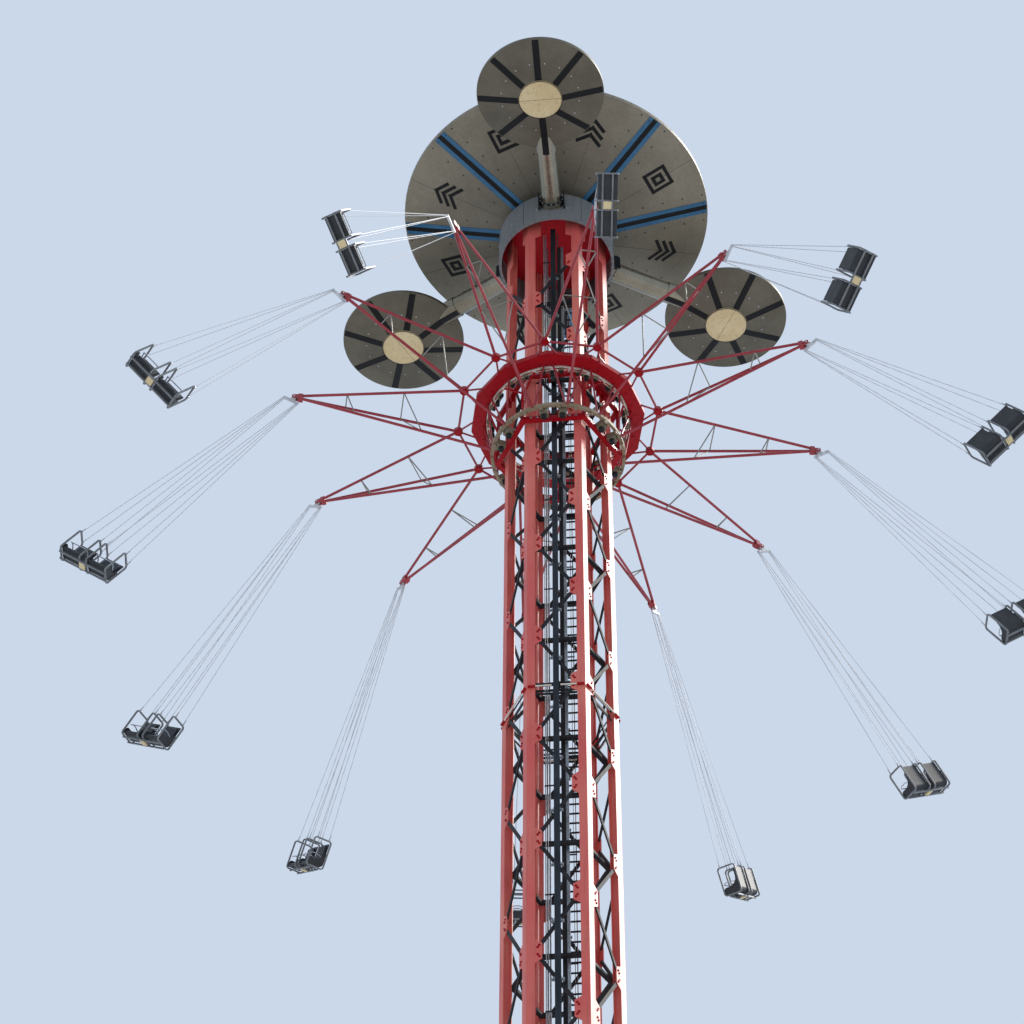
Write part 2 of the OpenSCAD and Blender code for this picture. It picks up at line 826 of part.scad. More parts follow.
// Swivel head with its pin, spreader bar and the eight ropes of one swing
swivel_r = 26;
swivel_w = 38;
stem_t = 28;
rope_spread = 8;
module hanger(i) {
    color("#c4c7c9")
        in_swing(i) {
            difference() {
                union() {
                    rotate([0, 90, 0])
                        cylinder(h = swivel_w, r = swivel_r, center = true);
                    translate([-stem_t / 2, -swivel_r, rope_top_z + spreader_h + seat_gap])
                        cube([stem_t, 2 * swivel_r, -rope_top_z - spreader_h - seat_gap]);
                }
                rotate([0, 90, 0])
                    cylinder(h = 2 * swivel_w, r = pin_r - 2, center = true);
            }
            rotate([0, 90, 0])
                cylinder(h = 2 * (fork_inner + lug_t) + 6, r = pin_r, center = true);
            translate([-stem_t / 2, -spreader_w / 2, rope_top_z])
                cube([stem_t, spreader_w, spreader_h]);
            intersection() {
                union()
                    for (s = [-1, 1])
                        for (e = rope_ends(s))
                            bar([sign(e[0]) * rope_spread,
                                 s * (spreader_w / 2 - 12) + sign(e[1] - s * chair_y) * rope_spread,
                                 rope_top_z + spreader_h], e - [0, 0, spreader_h], rope_r, 6);
                translate([-hoop_w, -2 * chair_y, chair_top_z])
                    cube([2 * hoop_w, 4 * chair_y, rope_drop - seat_gap]);
            }
        }
}

module rounded_rect(w, h, r) {
    square([w - 2 * r, h], center = true);
    square([w, h - 2 * r], center = true);
    for (x = [-1, 1])
        for (y = [-1, 1])
            translate([x * (w / 2 - r), y * (h / 2 - r)])
                circle(r);
}

// Side profile of the bucket, x forward and y up: pan, curve and back with one wall thickness
bend_r = 60;
module bucket_profile() {
    back_x = -pan_d / 2;
    difference() {
        union() {
            translate([back_x, bend_r])
                square([bend_r, back_h - bend_r]);
            translate([back_x + bend_r, bend_r])
                circle(bend_r);
            translate([back_x + bend_r, 0])
                square([pan_d - bend_r, bend_r]);
        }
        translate([back_x + bend_r, bend_r])
            circle(bend_r - shell_t);
        translate([back_x + shell_t, bend_r])
            square([pan_d, back_h]);
        translate([back_x + bend_r, shell_t])
            square([pan_d, back_h]);
    }
}

// Side wing of the bucket, rising from the front corner in a hollow curve to the back
wing_r = 30;
module wing_profile() {
    back_x = -pan_d / 2;
    sweep_r = 110;
    difference() {
        union() {
            translate([back_x + bend_r, 1])
                square([pan_d - bend_r, wing_h - 1]);
            translate([back_x + 1, bend_r])
                square([pan_d / 2, wing_h + sweep_r - bend_r]);
            translate([back_x + bend_r, bend_r])
                circle(bend_r - 1);
        }
        translate([back_x + wing_r + sweep_r, wing_h + sweep_r])
            circle(sweep_r);
        translate([back_x + wing_r + sweep_r, wing_h])
            square([pan_d, 2 * sweep_r]);
        difference() {
            translate([pan_d / 2 - wing_r, wing_h - wing_r])
                square(2 * wing_r);
            translate([pan_d / 2 - wing_r, wing_h - wing_r])
                circle(wing_r);
        }
    }
}

// One bucket chair facing +X: a moulded shell between two side wings
module bucket() {
    translate([0, 0, pan_z - shell_t]) {
        translate([0, chair_w / 2 - seat_gap, 0])
            rotate([90, 0, 0])
                linear_extrude(chair_w - 2 * seat_gap)
                    bucket_profile();
        for (y = [-chair_w / 2, chair_w / 2 + shell_t])
            translate([0, y, 0])
                rotate([90, 0, 0])
                    linear_extrude(shell_t)
                        wing_profile();
    }
}

// Double chair: two buckets between four hoops, two bars under the hoops, and a square box between them
module chair(i) {
    hoop_z = chair_top_z - seat_gap - hoop_h / 2;
    bar_z = hoop_z - hoop_h / 2 - seat_gap - hoop_t;
    whole_w = 2 * (chair_y + hoop_y) + hoop_t;
    box_w = 2 * (chair_y - hoop_y) - hoop_t - 2 * seat_gap;
    box_d = pan_d / 2 - hoop_t - 2 * seat_gap;
    color("#23252a")
        in_swing(i) {
            for (s = [-1, 1]) {
                translate([0, s * chair_y, 0])
                    bucket();
                for (y = [-1, 1])
                    translate([0, s * chair_y + y * hoop_y + hoop_t / 2, hoop_z])
                        rotate([90, 0, 0])
                            linear_extrude(hoop_t)
                                difference() {
                                    rounded_rect(hoop_w, hoop_h, hoop_corner);
                                    rounded_rect(hoop_w - 2 * hoop_t, hoop_h - 2 * hoop_t, hoop_corner - hoop_t);
                                }
            }
            for (x = [-pan_d / 4, pan_d / 4])
                translate([x - hoop_t / 2, -whole_w / 2, bar_z])
                    cube([hoop_t, whole_w, hoop_t]);
            translate([-box_d / 2, -box_w / 2, bar_z])
                cube([box_d, box_w, 2 * hoop_t]);
        }
}

base_flange();
for (i = [1:FACES]) leg(i);
for (i = [1:FACES]) bracing(i);
guide_rails();
ladder();
hoist_ropes();
inner_frames();
head_drum();
head_ceiling();
main_disc();
disc_stripes();
disc_arms();
small_discs();
disc_caps();
mast_head();
carriage_frame();
guide_rollers();
bearing_ring();
service_rail();
rotor_band();
lower_ring();
rotor_struts();
for (i = [1:4]) arms(i);
for (i = [1:ARMS]) hanger(i);
for (i = [1:ARMS]) chair(i);
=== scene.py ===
# %% [markdown]
# A tower swing ride at half size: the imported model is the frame, and this script gives it its finishes
# and small parts. Everything is in metres, in the frame of the model: +Z up, the foot of the tower at the
# origin. Directions round the tower (az) are counted from -Y towards +X, as on a plan of the ride.

# %% Load the frame
import math

import bmesh
import bpy
from mathutils import Matrix, Vector


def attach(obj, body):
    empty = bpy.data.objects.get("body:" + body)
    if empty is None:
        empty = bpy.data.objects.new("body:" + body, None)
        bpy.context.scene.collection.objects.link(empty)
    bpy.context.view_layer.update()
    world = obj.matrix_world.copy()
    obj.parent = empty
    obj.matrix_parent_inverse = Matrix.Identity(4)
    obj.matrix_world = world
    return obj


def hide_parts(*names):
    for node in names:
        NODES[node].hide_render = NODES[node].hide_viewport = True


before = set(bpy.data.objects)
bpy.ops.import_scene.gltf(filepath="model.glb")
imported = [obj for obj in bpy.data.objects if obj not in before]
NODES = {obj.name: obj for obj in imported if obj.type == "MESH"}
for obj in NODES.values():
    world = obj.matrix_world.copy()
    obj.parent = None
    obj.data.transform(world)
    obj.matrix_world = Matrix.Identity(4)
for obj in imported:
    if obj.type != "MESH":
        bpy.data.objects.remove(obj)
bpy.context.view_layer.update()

# %% [markdown]
# The photograph looks up from the ground, from about 52 m away on the real site, so 26 m here. A camera
# could be turned by eye until the pictures agree. This one was fitted to the rings of arm tips, gusset nodes
# and discs, which fixes the pitch, the small roll and the long lens together. It stands 4.3 degrees round
# from the face that carries the nearest small disc.

# %% Camera
CAMERA_AT = 26.25
CAMERA_AZ = math.radians(4.33)
EYE_HEIGHT = 0.8
PITCH = math.radians(50.2128)
ROLL = math.radians(-0.4886)
AIM_YAW = math.radians(-1.2462)
FOCAL_PX = 3346.9
FRAME_PX = 1024
SENSOR_MM = 36.0
FARTHEST = 600


def polar(radius, az, z):
    """Point at a radius, a direction in degrees and a height."""
    a = math.radians(az)
    return Vector((radius * math.sin(a), -radius * math.cos(a), z))


def place_camera():
    """Turns a level direction by the pitch, then by the roll, and looks along it."""
    ahead = CAMERA_AZ + math.radians(90) - AIM_YAW
    level = Vector((math.cos(ahead), math.sin(ahead), 0))
    right = Vector((level.y, -level.x, 0))
    look = level * math.cos(PITCH) + Vector((0, 0, math.sin(PITCH)))
    up = Vector((0, 0, math.cos(PITCH))) - level * math.sin(PITCH)
    side = right * math.cos(ROLL) - up * math.sin(ROLL)
    top = right * math.sin(ROLL) + up * math.cos(ROLL)
    data = bpy.data.cameras.new("photo_camera")
    data.sensor_width = SENSOR_MM
    data.lens = FOCAL_PX / FRAME_PX * SENSOR_MM
    data.clip_end = FARTHEST
    camera = bpy.data.objects.new("photo_camera", data)
    bpy.context.scene.collection.objects.link(camera)
    spot = polar(CAMERA_AT, math.degrees(CAMERA_AZ), EYE_HEIGHT)
    turn = Matrix((side, top, -look)).transposed().to_4x4()
    camera.matrix_world = Matrix.Translation(spot) @ turn
    bpy.context.scene.camera = camera
    return camera


camera = place_camera()
print("camera at", tuple(round(c, 2) for c in camera.location), "lens", round(camera.data.lens, 1), "mm")

# %% [markdown]
# Colours are written as the hex values a paint chart would give, and one function turns them to linear
# light, which the shaders reckon in. Nodes could be added and linked line by line, but one helper that takes
# a node's settings and links together lets each material read as a short recipe.

# %% Colour and node helpers
SRGB_FOOT, SRGB_SLOPE, SRGB_SHIFT, SRGB_POWER = 0.04045, 12.92, 0.055, 2.4
# A mix node has sockets for each kind of value; those for colours go by these numbers
FACTOR, FIRST, SECOND, MIXED = 0, 6, 7, 2


def linear(hex_code):
    channels = [int(hex_code[i:i + 2], 16) / 255 for i in (1, 3, 5)]
    return tuple(c / SRGB_SLOPE if c <= SRGB_FOOT else ((c + SRGB_SHIFT) / (1 + SRGB_SHIFT)) ** SRGB_POWER
                 for c in channels) + (1.0,)


def add(tree, kind, inputs=None, stops=(), **settings):
    """Adds a node: an input given as a socket is linked, any other is set, and a ramp takes its stops."""
    made = tree.nodes.new(kind)
    for key, value in settings.items():
        setattr(made, key, value)
    for key, value in (inputs or {}).items():
        socket = made.inputs[key]
        if isinstance(value, bpy.types.NodeSocket):
            tree.links.new(value, socket)
        else:
            socket.default_value = value
    for i, (place, colour) in enumerate(stops):
        made.color_ramp.elements[i].position = place
        made.color_ramp.elements[i].color = colour
    return made


def new_material(name):
    """A material, its tree, its shader, and the place on the object that its patterns go by."""
    made = bpy.data.materials.new(name)
    made.use_nodes = True
    tree = made.node_tree
    return made, tree, tree.nodes["Principled BSDF"], add(tree, "ShaderNodeTexCoord").outputs["Object"]


def surface(tree, shader, tone, relief=(), gloss=(), **constants):
    """Links a tone, a relief (source, strength, depth) and a gloss (source, least, most) to the shader."""
    tree.links.new(tone, shader.inputs["Base Color"])
    if relief:
        bump = add(tree, "ShaderNodeBump", dict(zip(("Height", "Strength", "Distance"), relief)))
        tree.links.new(bump.outputs["Normal"], shader.inputs["Normal"])
    if gloss:
        dull = add(tree, "ShaderNodeMapRange", dict(zip(("Value", "To Min", "To Max"), gloss)))
        tree.links.new(dull.outputs["Result"], shader.inputs["Roughness"])
    for name, value in constants.items():
        shader.inputs[name].default_value = value


print("half grey is", round(linear("#808080")[0], 3), "in linear light")

# %% [markdown]
# Most of the ride is sprayed steel. The sun fades the enamel in broad patches, rain draws dust down the
# uprights, and the film has a fine orange-peel. A flat colour would look like plastic, so the recipe mixes a
# fresh and a faded tone by a slow noise, streaks them with a noise drawn out along the height, and lets a fine
# noise lift the surface. Noise scales are cycles per metre, so each is 1000 over its size in millimetres.

# %% Painted steel
RAIN_STRETCH = 0.06
CLEAN, STREAKED = (0, 0, 0, 1), (0.55, 0.55, 0.55, 1)


def painted_steel(name, fresh, faded, dirt, roughness, patch_mm=900, streak_mm=45, peel_mm=14, ior=1.5):
    made, tree, shader, place = new_material(name)
    patches = add(tree, "ShaderNodeTexNoise", {"Vector": place, "Scale": 1000 / patch_mm, "Detail": 4.0})
    tone = add(tree, "ShaderNodeValToRGB", {"Fac": patches.outputs["Fac"]},
               stops=[(0.35, linear(fresh)), (0.7, linear(faded))])
    tall = add(tree, "ShaderNodeMapping", {"Vector": place, "Scale": (1.0, 1.0, RAIN_STRETCH)})
    streaks = add(tree, "ShaderNodeTexNoise",
                  {"Vector": tall.outputs["Vector"], "Scale": 1000 / streak_mm, "Detail": 3.0})
    grime = add(tree, "ShaderNodeValToRGB", {"Fac": streaks.outputs["Fac"]}, stops=[(0.52, CLEAN), (0.8, STREAKED)])
    dusty = add(tree, "ShaderNodeMix",
                {FACTOR: grime.outputs["Color"], FIRST: tone.outputs["Color"], SECOND: linear(dirt)},
                data_type="RGBA")
    peel = add(tree, "ShaderNodeTexNoise", {"Vector": place, "Scale": 1000 / peel_mm, "Detail": 2.0})
    surface(tree, shader, dusty.outputs[MIXED], (peel.outputs["Fac"], 0.12, 0.002),
            (streaks.outputs["Fac"], roughness - 0.06, roughness + 0.14), IOR=ior)
    return made


# Legs: salmon red, bleached paler by the sun, with a soft sheen
leg_enamel = painted_steel("red_enamel_on_folded_plate", "#D65C58", "#E07A6C", "#A0524C", 0.42, ior=1.45)
# Arm tubes: darker and glossier, so that the sun runs along them in thin lines
rotor_enamel = painted_steel("red_enamel_on_tube", "#921F2B", "#A2303A", "#5E1A20", 0.3, patch_mm=500)
# Rings and brackets: a deep red that reflects little
deep_enamel = painted_steel("deep_red_enamel", "#9E0012", "#A80C1C", "#5A0610", 0.4, patch_mm=600, ior=1.3)
# Ceiling: the same red, out of the weather
ceiling_enamel = painted_steel("bright_red_enamel", "#B40A1C", "#BC1828", "#6A0C14", 0.5, patch_mm=600, ior=1.3)
# Braces: black under a film of dust, nearly without shine
black_paint = painted_steel("black_chassis_paint", "#191A1E", "#26282C", "#3A3835", 0.62, patch_mm=400, ior=1.35)
# Drum: an even mid grey
slate_paint = painted_steel("slate_grey_enamel", "#6C7174", "#7D8284", "#54575A", 0.4, patch_mm=700)
# Caps of the small discs: warm cream
cream_paint = painted_steel("cream_enamel", "#D2BE90", "#DCCBA0", "#A08E6A", 0.42, patch_mm=300)
# Bearing ring and tie bars: off-white, chalky
white_paint = painted_steel("off_white_enamel", "#D9D3C6", "#E4DFD4", "#9C9484", 0.4, patch_mm=300)
# Gearboxes: olive primer, darkened by grease
stone_paint = painted_steel("olive_grey_primer", "#746B56", "#827862", "#463E32", 0.5, patch_mm=120)
# Lower ring: beige, worn brown in small patches
ring_paint = painted_steel("weathered_ring_paint", "#95866E", "#7E6A50", "#57382A", 0.5, patch_mm=160, streak_mm=30)
# Stripes and their borders: flat black, sea blue
stripe_paint = painted_steel("satin_black_enamel", "#0C0D0F", "#141517", "#222426", 0.5, patch_mm=500, ior=1.3)
blue_paint = painted_steel("sea_blue_enamel", "#2A5F84", "#386F94", "#26465C", 0.4, patch_mm=500, ior=1.4)
print("painted finishes:", len(bpy.data.materials))

# %% [markdown]
# The discs are clad in brushed sheet that has weathered to a warm grey. Brushing leaves fine parallel scratches, far
# too many to draw one by one, so a noise stretched hard along one direction drives both the roughness and the bump,
# and a slow noise gives the cloudy look of oxidised metal. On the big disc the tone follows the distance from the
# axis: painted shade darkens the sheet near the neck, and the rim stays light as a painted highlight.
# Galvanised steel shows spangles some 12 mm across instead, which a Voronoi pattern gives.

# %% Bare metals
BRUSH_STRETCH = 8
# Tone of the big disc near the neck and at the rim: painted shade and a painted highlight
PAINTED_RIM_LIGHT, PAINTED_NECK_SHADE = 1.0, 0.5
SOOT, CLEAR = (0.82, 0.82, 0.82, 1), (1, 1, 1, 1)


def brushed_sheet(name, light, dark, roughness, metallic, along=(1.0, 1.0, 14.0), brush_mm=9, rim=None):
    """Brushed metal; with rim, the two radii between which the tone goes from painted shade to a painted highlight.
    """
    made, tree, shader, place = new_material(name)
    clouds = add(tree, "ShaderNodeTexNoise", {"Vector": place, "Scale": 1.6, "Detail": 5.0, "Roughness": 0.6})
    lines = add(tree, "ShaderNodeMapping", {"Vector": place, "Scale": along})
    brush = add(tree, "ShaderNodeTexNoise",
                {"Vector": lines.outputs["Vector"], "Scale": 1000 / brush_mm / BRUSH_STRETCH, "Detail": 3.0})
    cloudy = add(tree, "ShaderNodeValToRGB", {"Fac": clouds.outputs["Fac"]},
                 stops=[(0.3, linear(dark)), (0.72, linear(light))])
    fine = add(tree, "ShaderNodeValToRGB", {"Fac": brush.outputs["Fac"]}, stops=[(0.3, SOOT), (0.7, CLEAR)])
    tone = add(tree, "ShaderNodeMix", {FACTOR: 1.0, FIRST: cloudy.outputs["Color"], SECOND: fine.outputs["Color"]},
               data_type="RGBA", blend_type="MULTIPLY")
    # Painted shade near the neck, lightening to a painted highlight at the rim
    if rim:
        flat = add(tree, "ShaderNodeMapping", {"Vector": place, "Scale": (1.0, 1.0, 0.0)})
        radius = add(tree, "ShaderNodeVectorMath", {0: flat.outputs["Vector"]}, operation="LENGTH")
        painted_shading = add(tree, "ShaderNodeMapRange", {"Value": radius.outputs["Value"], "From Min": rim[0],
                                                "From Max": rim[1], "To Min": PAINTED_NECK_SHADE, "To Max": PAINTED_RIM_LIGHT})
        tone = add(tree, "ShaderNodeMix", {FACTOR: 1.0, FIRST: tone.outputs[MIXED], SECOND: painted_shading.outputs["Result"]},
                   data_type="RGBA", blend_type="MULTIPLY")
    surface(tree, shader, tone.outputs[MIXED], (brush.outputs["Fac"], 0.1, 0.001),
            (brush.outputs["Fac"], roughness - 0.08, roughness + 0.1), Metallic=metallic)
    return made


def galvanised(name, light, dark, roughness, spangle_mm=12):
    made, tree, shader, place = new_material(name)
    spangle = add(tree, "ShaderNodeTexVoronoi", {"Vector": place, "Scale": 1000 / spangle_mm})
    tone = add(tree, "ShaderNodeValToRGB", {"Fac": spangle.outputs["Color"]},
               stops=[(0.2, linear(dark)), (0.8, linear(light))])
    cloud = add(tree, "ShaderNodeTexNoise", {"Vector": place, "Scale": 5.0, "Detail": 3.0})
    surface(tree, shader, tone.outputs["Color"], gloss=(cloud.outputs["Fac"], roughness - 0.1, roughness + 0.15),
            Metallic=0.85)
    return made


# Big disc: dull and warm, half dirt and half metal; small discs: the same sheet, gone khaki
# The big disc's tone darkens from its rim in towards the neck: painted shade, with the rim a painted highlight
disc_sheet = brushed_sheet("weathered_brushed_sheet", "#958F7E", "#7C7666", 0.46, 0.3, rim=(0.6, 2.0))
small_sheet = brushed_sheet("darkened_brushed_sheet", "#706B5C", "#585345", 0.5, 0.3)
# Tubes of the small discs: smooth enough to carry the sky along their edges; arm lacing: plain drawn tube
tube_sheet = brushed_sheet("brushed_steel_tube", "#A29C8C", "#7C7564", 0.27, 0.8, along=(6.0, 6.0, 6.0))
lace_steel = brushed_sheet("bare_steel_tube", "#A5A49B", "#7E7D76", 0.38, 0.7, along=(6.0, 6.0, 6.0))
# Ladder, clips and anchors: hot-dip zinc, pale and soft
zinc = galvanised("galvanised_steel", "#A9AEB1", "#868B8E", 0.45)
# Rails: dark rolled steel under oil, drawn out lengthwise; lap bars and eyes: the brightest metal here
rail_steel = brushed_sheet("oiled_rail_steel", "#3A4047", "#24282D", 0.36, 0.8, along=(6.0, 6.0, 0.4))
bright_steel = brushed_sheet("stainless_steel", "#D2D5D8", "#B4B8BC", 0.28, 0.9, along=(3.0, 3.0, 3.0))
print("paints and metals:", len(bpy.data.materials))

# %% [markdown]
# Wire rope is strands laid in a helix. The strands could be modelled, but on an 8 mm rope they are far finer
# than a pixel, so a wave draws the lay as slanting light and dark bands, coarser than the real ones at 30 mm
# and only lightly. Rollers and seats are moulded: one colour right through, a fine grain from the mould, and
# paler patches where they are rubbed.

# %% Wire rope, rubber and plastic
WAVE_TURN = 6.28


def wire_rope(name, light, dark, lay_mm=30):
    made, tree, shader, place = new_material(name)
    wave = add(tree, "ShaderNodeTexWave",
               {"Vector": place, "Scale": 1000 / lay_mm / WAVE_TURN, "Distortion": 0.6, "Detail": 1.0},
               bands_direction="DIAGONAL")
    tone = add(tree, "ShaderNodeValToRGB", {"Fac": wave.outputs["Fac"]},
               stops=[(0.2, linear(dark)), (0.8, linear(light))])
    surface(tree, shader, tone.outputs["Color"], (wave.outputs["Fac"], 0.15, 0.001), Metallic=0.1, Roughness=0.5)
    return made


def moulded(name, base, worn, roughness, grain_mm=3, ior=1.5):
    made, tree, shader, place = new_material(name)
    rub = add(tree, "ShaderNodeTexNoise", {"Vector": place, "Scale": 9.0, "Detail": 5.0})
    tone = add(tree, "ShaderNodeValToRGB", {"Fac": rub.outputs["Fac"]},
               stops=[(0.4, linear(base)), (0.75, linear(worn))])
    grain = add(tree, "ShaderNodeTexNoise", {"Vector": place, "Scale": 1000 / grain_mm, "Detail": 1.0})
    surface(tree, shader, tone.outputs["Color"], (grain.outputs["Fac"], 0.25, 0.001), Roughness=roughness, IOR=ior)
    return made


# Swing ropes are pale and clean; the hoist ropes are darkened by grease
rope_wire = wire_rope("galvanised_wire_rope", "#CFD3D8", "#B6BBC1")
hoist_wire = wire_rope("greased_hoist_rope", "#8D96A1", "#6F7883")
# Rollers: black rubber, matt; seats: charcoal polyethylene with a faint sheen
roller_rubber = moulded("roller_rubber", "#1C1D1F", "#303134", 0.6, ior=1.52)
seat_plastic = moulded("moulded_polyethylene", "#1D2024", "#2E3236", 0.5)
print("finishes so far:", len(bpy.data.materials))

# %% [markdown]
# Each node of the model already has the right shape, so it only takes its finish. Finishes could be set node
# by node. The table below goes by the start of the node's name, because like pieces such as the six legs
# share one.

# %% Finish the nodes of the model
FINISHES = {
    "base_flange": leg_enamel, "leg_": leg_enamel, "bracing_": black_paint, "guide_rails": rail_steel,
    "ladder": zinc, "hoist_ropes": hoist_wire, "inner_frames": black_paint, "head_drum": slate_paint,
    "head_ceiling": ceiling_enamel, "main_disc": disc_sheet, "disc_stripes": blue_paint,
    "disc_arms": tube_sheet, "small_discs": small_sheet, "disc_caps": cream_paint, "mast_head": tube_sheet,
    "carriage_frame": deep_enamel, "guide_rollers": roller_rubber, "bearing_ring": white_paint,
    "service_rail": rotor_enamel, "rotor_band": deep_enamel, "lower_ring": ring_paint,
    "rotor_struts": rotor_enamel, "arms_": rotor_enamel, "hanger_": rope_wire, "chair_": seat_plastic,
}


def finish_for(name):
    return next(material for start, material in FINISHES.items() if name.startswith(start))


for node_name, node_object in NODES.items():
    node_object.data.materials.clear()
    node_object.data.materials.append(finish_for(node_name))
print("finished nodes:", len(NODES))

# %% [markdown]
# Bolts, clips, rivets, seams and pads are small solids. Ready-made primitives would do for a few, but each
# would be an object of its own. One loft routine lays a skin over rings of points instead, and a Pile gathers
# the solids that share a finish and a moving body, so a thousand bolts stay one object. Sizes are true to the
# half-size model: the head of an M24 bolt, 36 mm across, is 18 mm here.

# %% Small solids
WASHER_SHARE, HEAD_SHARE = 0.85, 0.56


class Pile:
    """Small solids of one finish that ride on one body."""

    def __init__(self, name, material, body="tower"):
        self.name, self.material, self.body = name, material, body
        self.points, self.faces = [], []

    def loft(self, rings, closed=False):
        """Skin over rings of equal size, with capped ends unless the last ring meets the first."""
        first, n = len(self.points), len(rings[0])
        for ring in rings:
            self.points.extend(tuple(p) for p in ring)
        count = len(rings)
        for j in range(count if closed else count - 1):
            a, b = first + j * n, first + (j + 1) % count * n
            self.faces.extend((a + i, a + (i + 1) % n, b + (i + 1) % n, b + i) for i in range(n))
        if not closed:
            self.faces.append(tuple(range(first + n - 1, first - 1, -1)))
            self.faces.append(tuple(range(first + (count - 1) * n, first + count * n)))

    def box(self, place, low, high):
        corners = [(low[0], low[1]), (high[0], low[1]), (high[0], high[1]), (low[0], high[1])]
        self.loft([[place @ Vector((x, y, z)) for x, y in corners] for z in (low[2], high[2])])

    def rod(self, place, radii, heights, sides=6):
        """Turned solid along the place's own z, with a radius at each height."""
        around = [math.tau * i / sides for i in range(sides)]
        self.loft([[place @ Vector((r * math.cos(a), r * math.sin(a), h)) for a in around]
                   for r, h in zip(radii, heights)])

    def bolt(self, place, across, height):
        washer, head = across * WASHER_SHARE, across * HEAD_SHARE
        self.rod(place, (washer, washer), (0, height * 0.25), sides=8)
        self.rod(place, (head, head), (height * 0.2, height), sides=6)

    def tube(self, path, radius, sides=8):
        """Round tube along a path of points; its first cross direction is carried on, against twisting."""
        rings = []
        for i, point in enumerate(path):
            along = (path[min(i + 1, len(path) - 1)] - path[max(i - 1, 0)]).normalized()
            across = across - along * across.dot(along) if rings else along.orthogonal()
            across = across.normalized()
            other = along.cross(across)
            rings.append([point + radius * (math.cos(t) * across + math.sin(t) * other)
                          for t in (math.tau * k / sides for k in range(sides))])
        self.loft(rings)

    def made(self):
        """Turns the pile into one object that rides on its body, and returns its number of faces."""
        mesh = bpy.data.meshes.new(self.name)
        mesh.from_pydata(self.points, [], self.faces)
        mesh.materials.append(self.material)
        mesh.update()
        thing = bpy.data.objects.new(self.name, mesh)
        bpy.context.scene.collection.objects.link(thing)
        fix = bmesh.new()
        fix.from_mesh(mesh)
        bmesh.ops.recalc_face_normals(fix, faces=fix.faces)
        fix.to_mesh(mesh)
        fix.free()
        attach(thing, self.body)
        self.thing = thing
        return len(mesh.polygons)


def turned(az):
    return Matrix.Rotation(math.radians(az), 4, "Z")


def on_face(az, x, out, z):
    """Frame on a side of the tower: x along the side, y inward, z up."""
    return turned(az) @ Matrix.Translation((x, -out, z))


OUTWARD = Matrix.Rotation(math.radians(90), 4, "X")
INWARD = Matrix.Rotation(math.radians(-90), 4, "X")
DOWNWARD = Matrix.Rotation(math.radians(180), 4, "X")
sample = Pile("sample", None)
sample.bolt(Matrix(), 0.018, 0.012)
print("faces of one bolt with its washer:", len(sample.faces))

# %% [markdown]
# Tower. The photograph shows guide rails on two opposite faces only, where the model has one on each, so
# the rails and their rollers are made here and stand for the model's. A rail could be a plain bar, but its
# rolled section has small chamfers and a shallow groove, so that outline is lofted from foot to head. A
# roller is turned: a crowned tread on a short axle.

# %% Guide rails and rollers
TOWER_R, PLATE = 0.665, 0.010
FACE_OUT = TOWER_R * math.cos(math.radians(30))
RAIL_HALF, RAIL_D, RAIL_FOOT, RAIL_TOP = 0.033, 0.040, 0.050, 37.491
GROOVE_HALF, GROOVE_D, CHAMFER = 0.012, 0.005, 0.003
RAIL_SIDES = (0, 3)
ROLLER_R, EDGE_R, ROLLER_ZS, RUN_GAP = 0.044, 0.038, (33.439, 34.149), 0.0003
AXLE_R, AXLE_HALF = 0.012, 0.0417


def lay_rails():
    rails = Pile("grooved_guide_rails", rail_steel)
    half = [(RAIL_HALF, 0), (RAIL_HALF, RAIL_D - CHAMFER), (RAIL_HALF - CHAMFER, RAIL_D), (GROOVE_HALF, RAIL_D),
            (GROOVE_HALF, RAIL_D - GROOVE_D)]
    outline = [(-RAIL_HALF, 0)] + half + [(-x, d) for x, d in half[:0:-1]]
    for side in RAIL_SIDES:
        place = on_face(60 * side, 0, FACE_OUT - PLATE, 0)
        rails.loft([[place @ Vector((x, -d, z)) for x, d in outline] for z in (RAIL_FOOT, RAIL_TOP)])
    count = rails.made()
    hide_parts("guide_rails")
    rollers = Pile("crowned_guide_rollers", roller_rubber, "carriage")
    for side in RAIL_SIDES:
        for z in ROLLER_ZS:
            hub = on_face(60 * side, 0, FACE_OUT - PLATE + RAIL_D + RUN_GAP + ROLLER_R, z)
            across = hub @ Matrix.Rotation(math.radians(90), 4, "Y")
            rollers.rod(across, (EDGE_R, ROLLER_R, ROLLER_R, EDGE_R), (-0.03, -0.024, 0.024, 0.03), sides=32)
            rollers.rod(across, (AXLE_R, AXLE_R), (-AXLE_HALF, AXLE_HALF), sides=16)
    count += rollers.made()
    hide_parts("guide_rollers")
    return count


print("rails and rollers:", lay_rails(), "faces")

# %% [markdown]
# Each flat brace is held to a tab by two bolts through the plate, so the heads show on the outside of the
# tab in pairs along the brace. Where a brace passes behind a rail, a pair of galvanised clips clamps the
# rail to it, and anchor bolts hold the foot. All could be set by hand, but the tabs climb in even steps, on
# the left leg and the right leg in turn, and the same steps place every bolt here.

# %% Tower bolts and rail clips
TAB_FIRST, TAB_STEP, TAB_COUNT = 0.842, 0.8175, 45
BRACE_X, BRACE_Z, BOLT_PITCH = 0.1905, 0.084, 0.034
TAB_BOLT, CLIP_BOLT = (0.018, 0.012), (0.016, 0.010)
CLIP_HALF = 0.022
ANCHORS, ANCHOR_R, FLANGE_TOP = 24, 0.88, 0.05


def tab_height(k):
    return TAB_FIRST + k * TAB_STEP


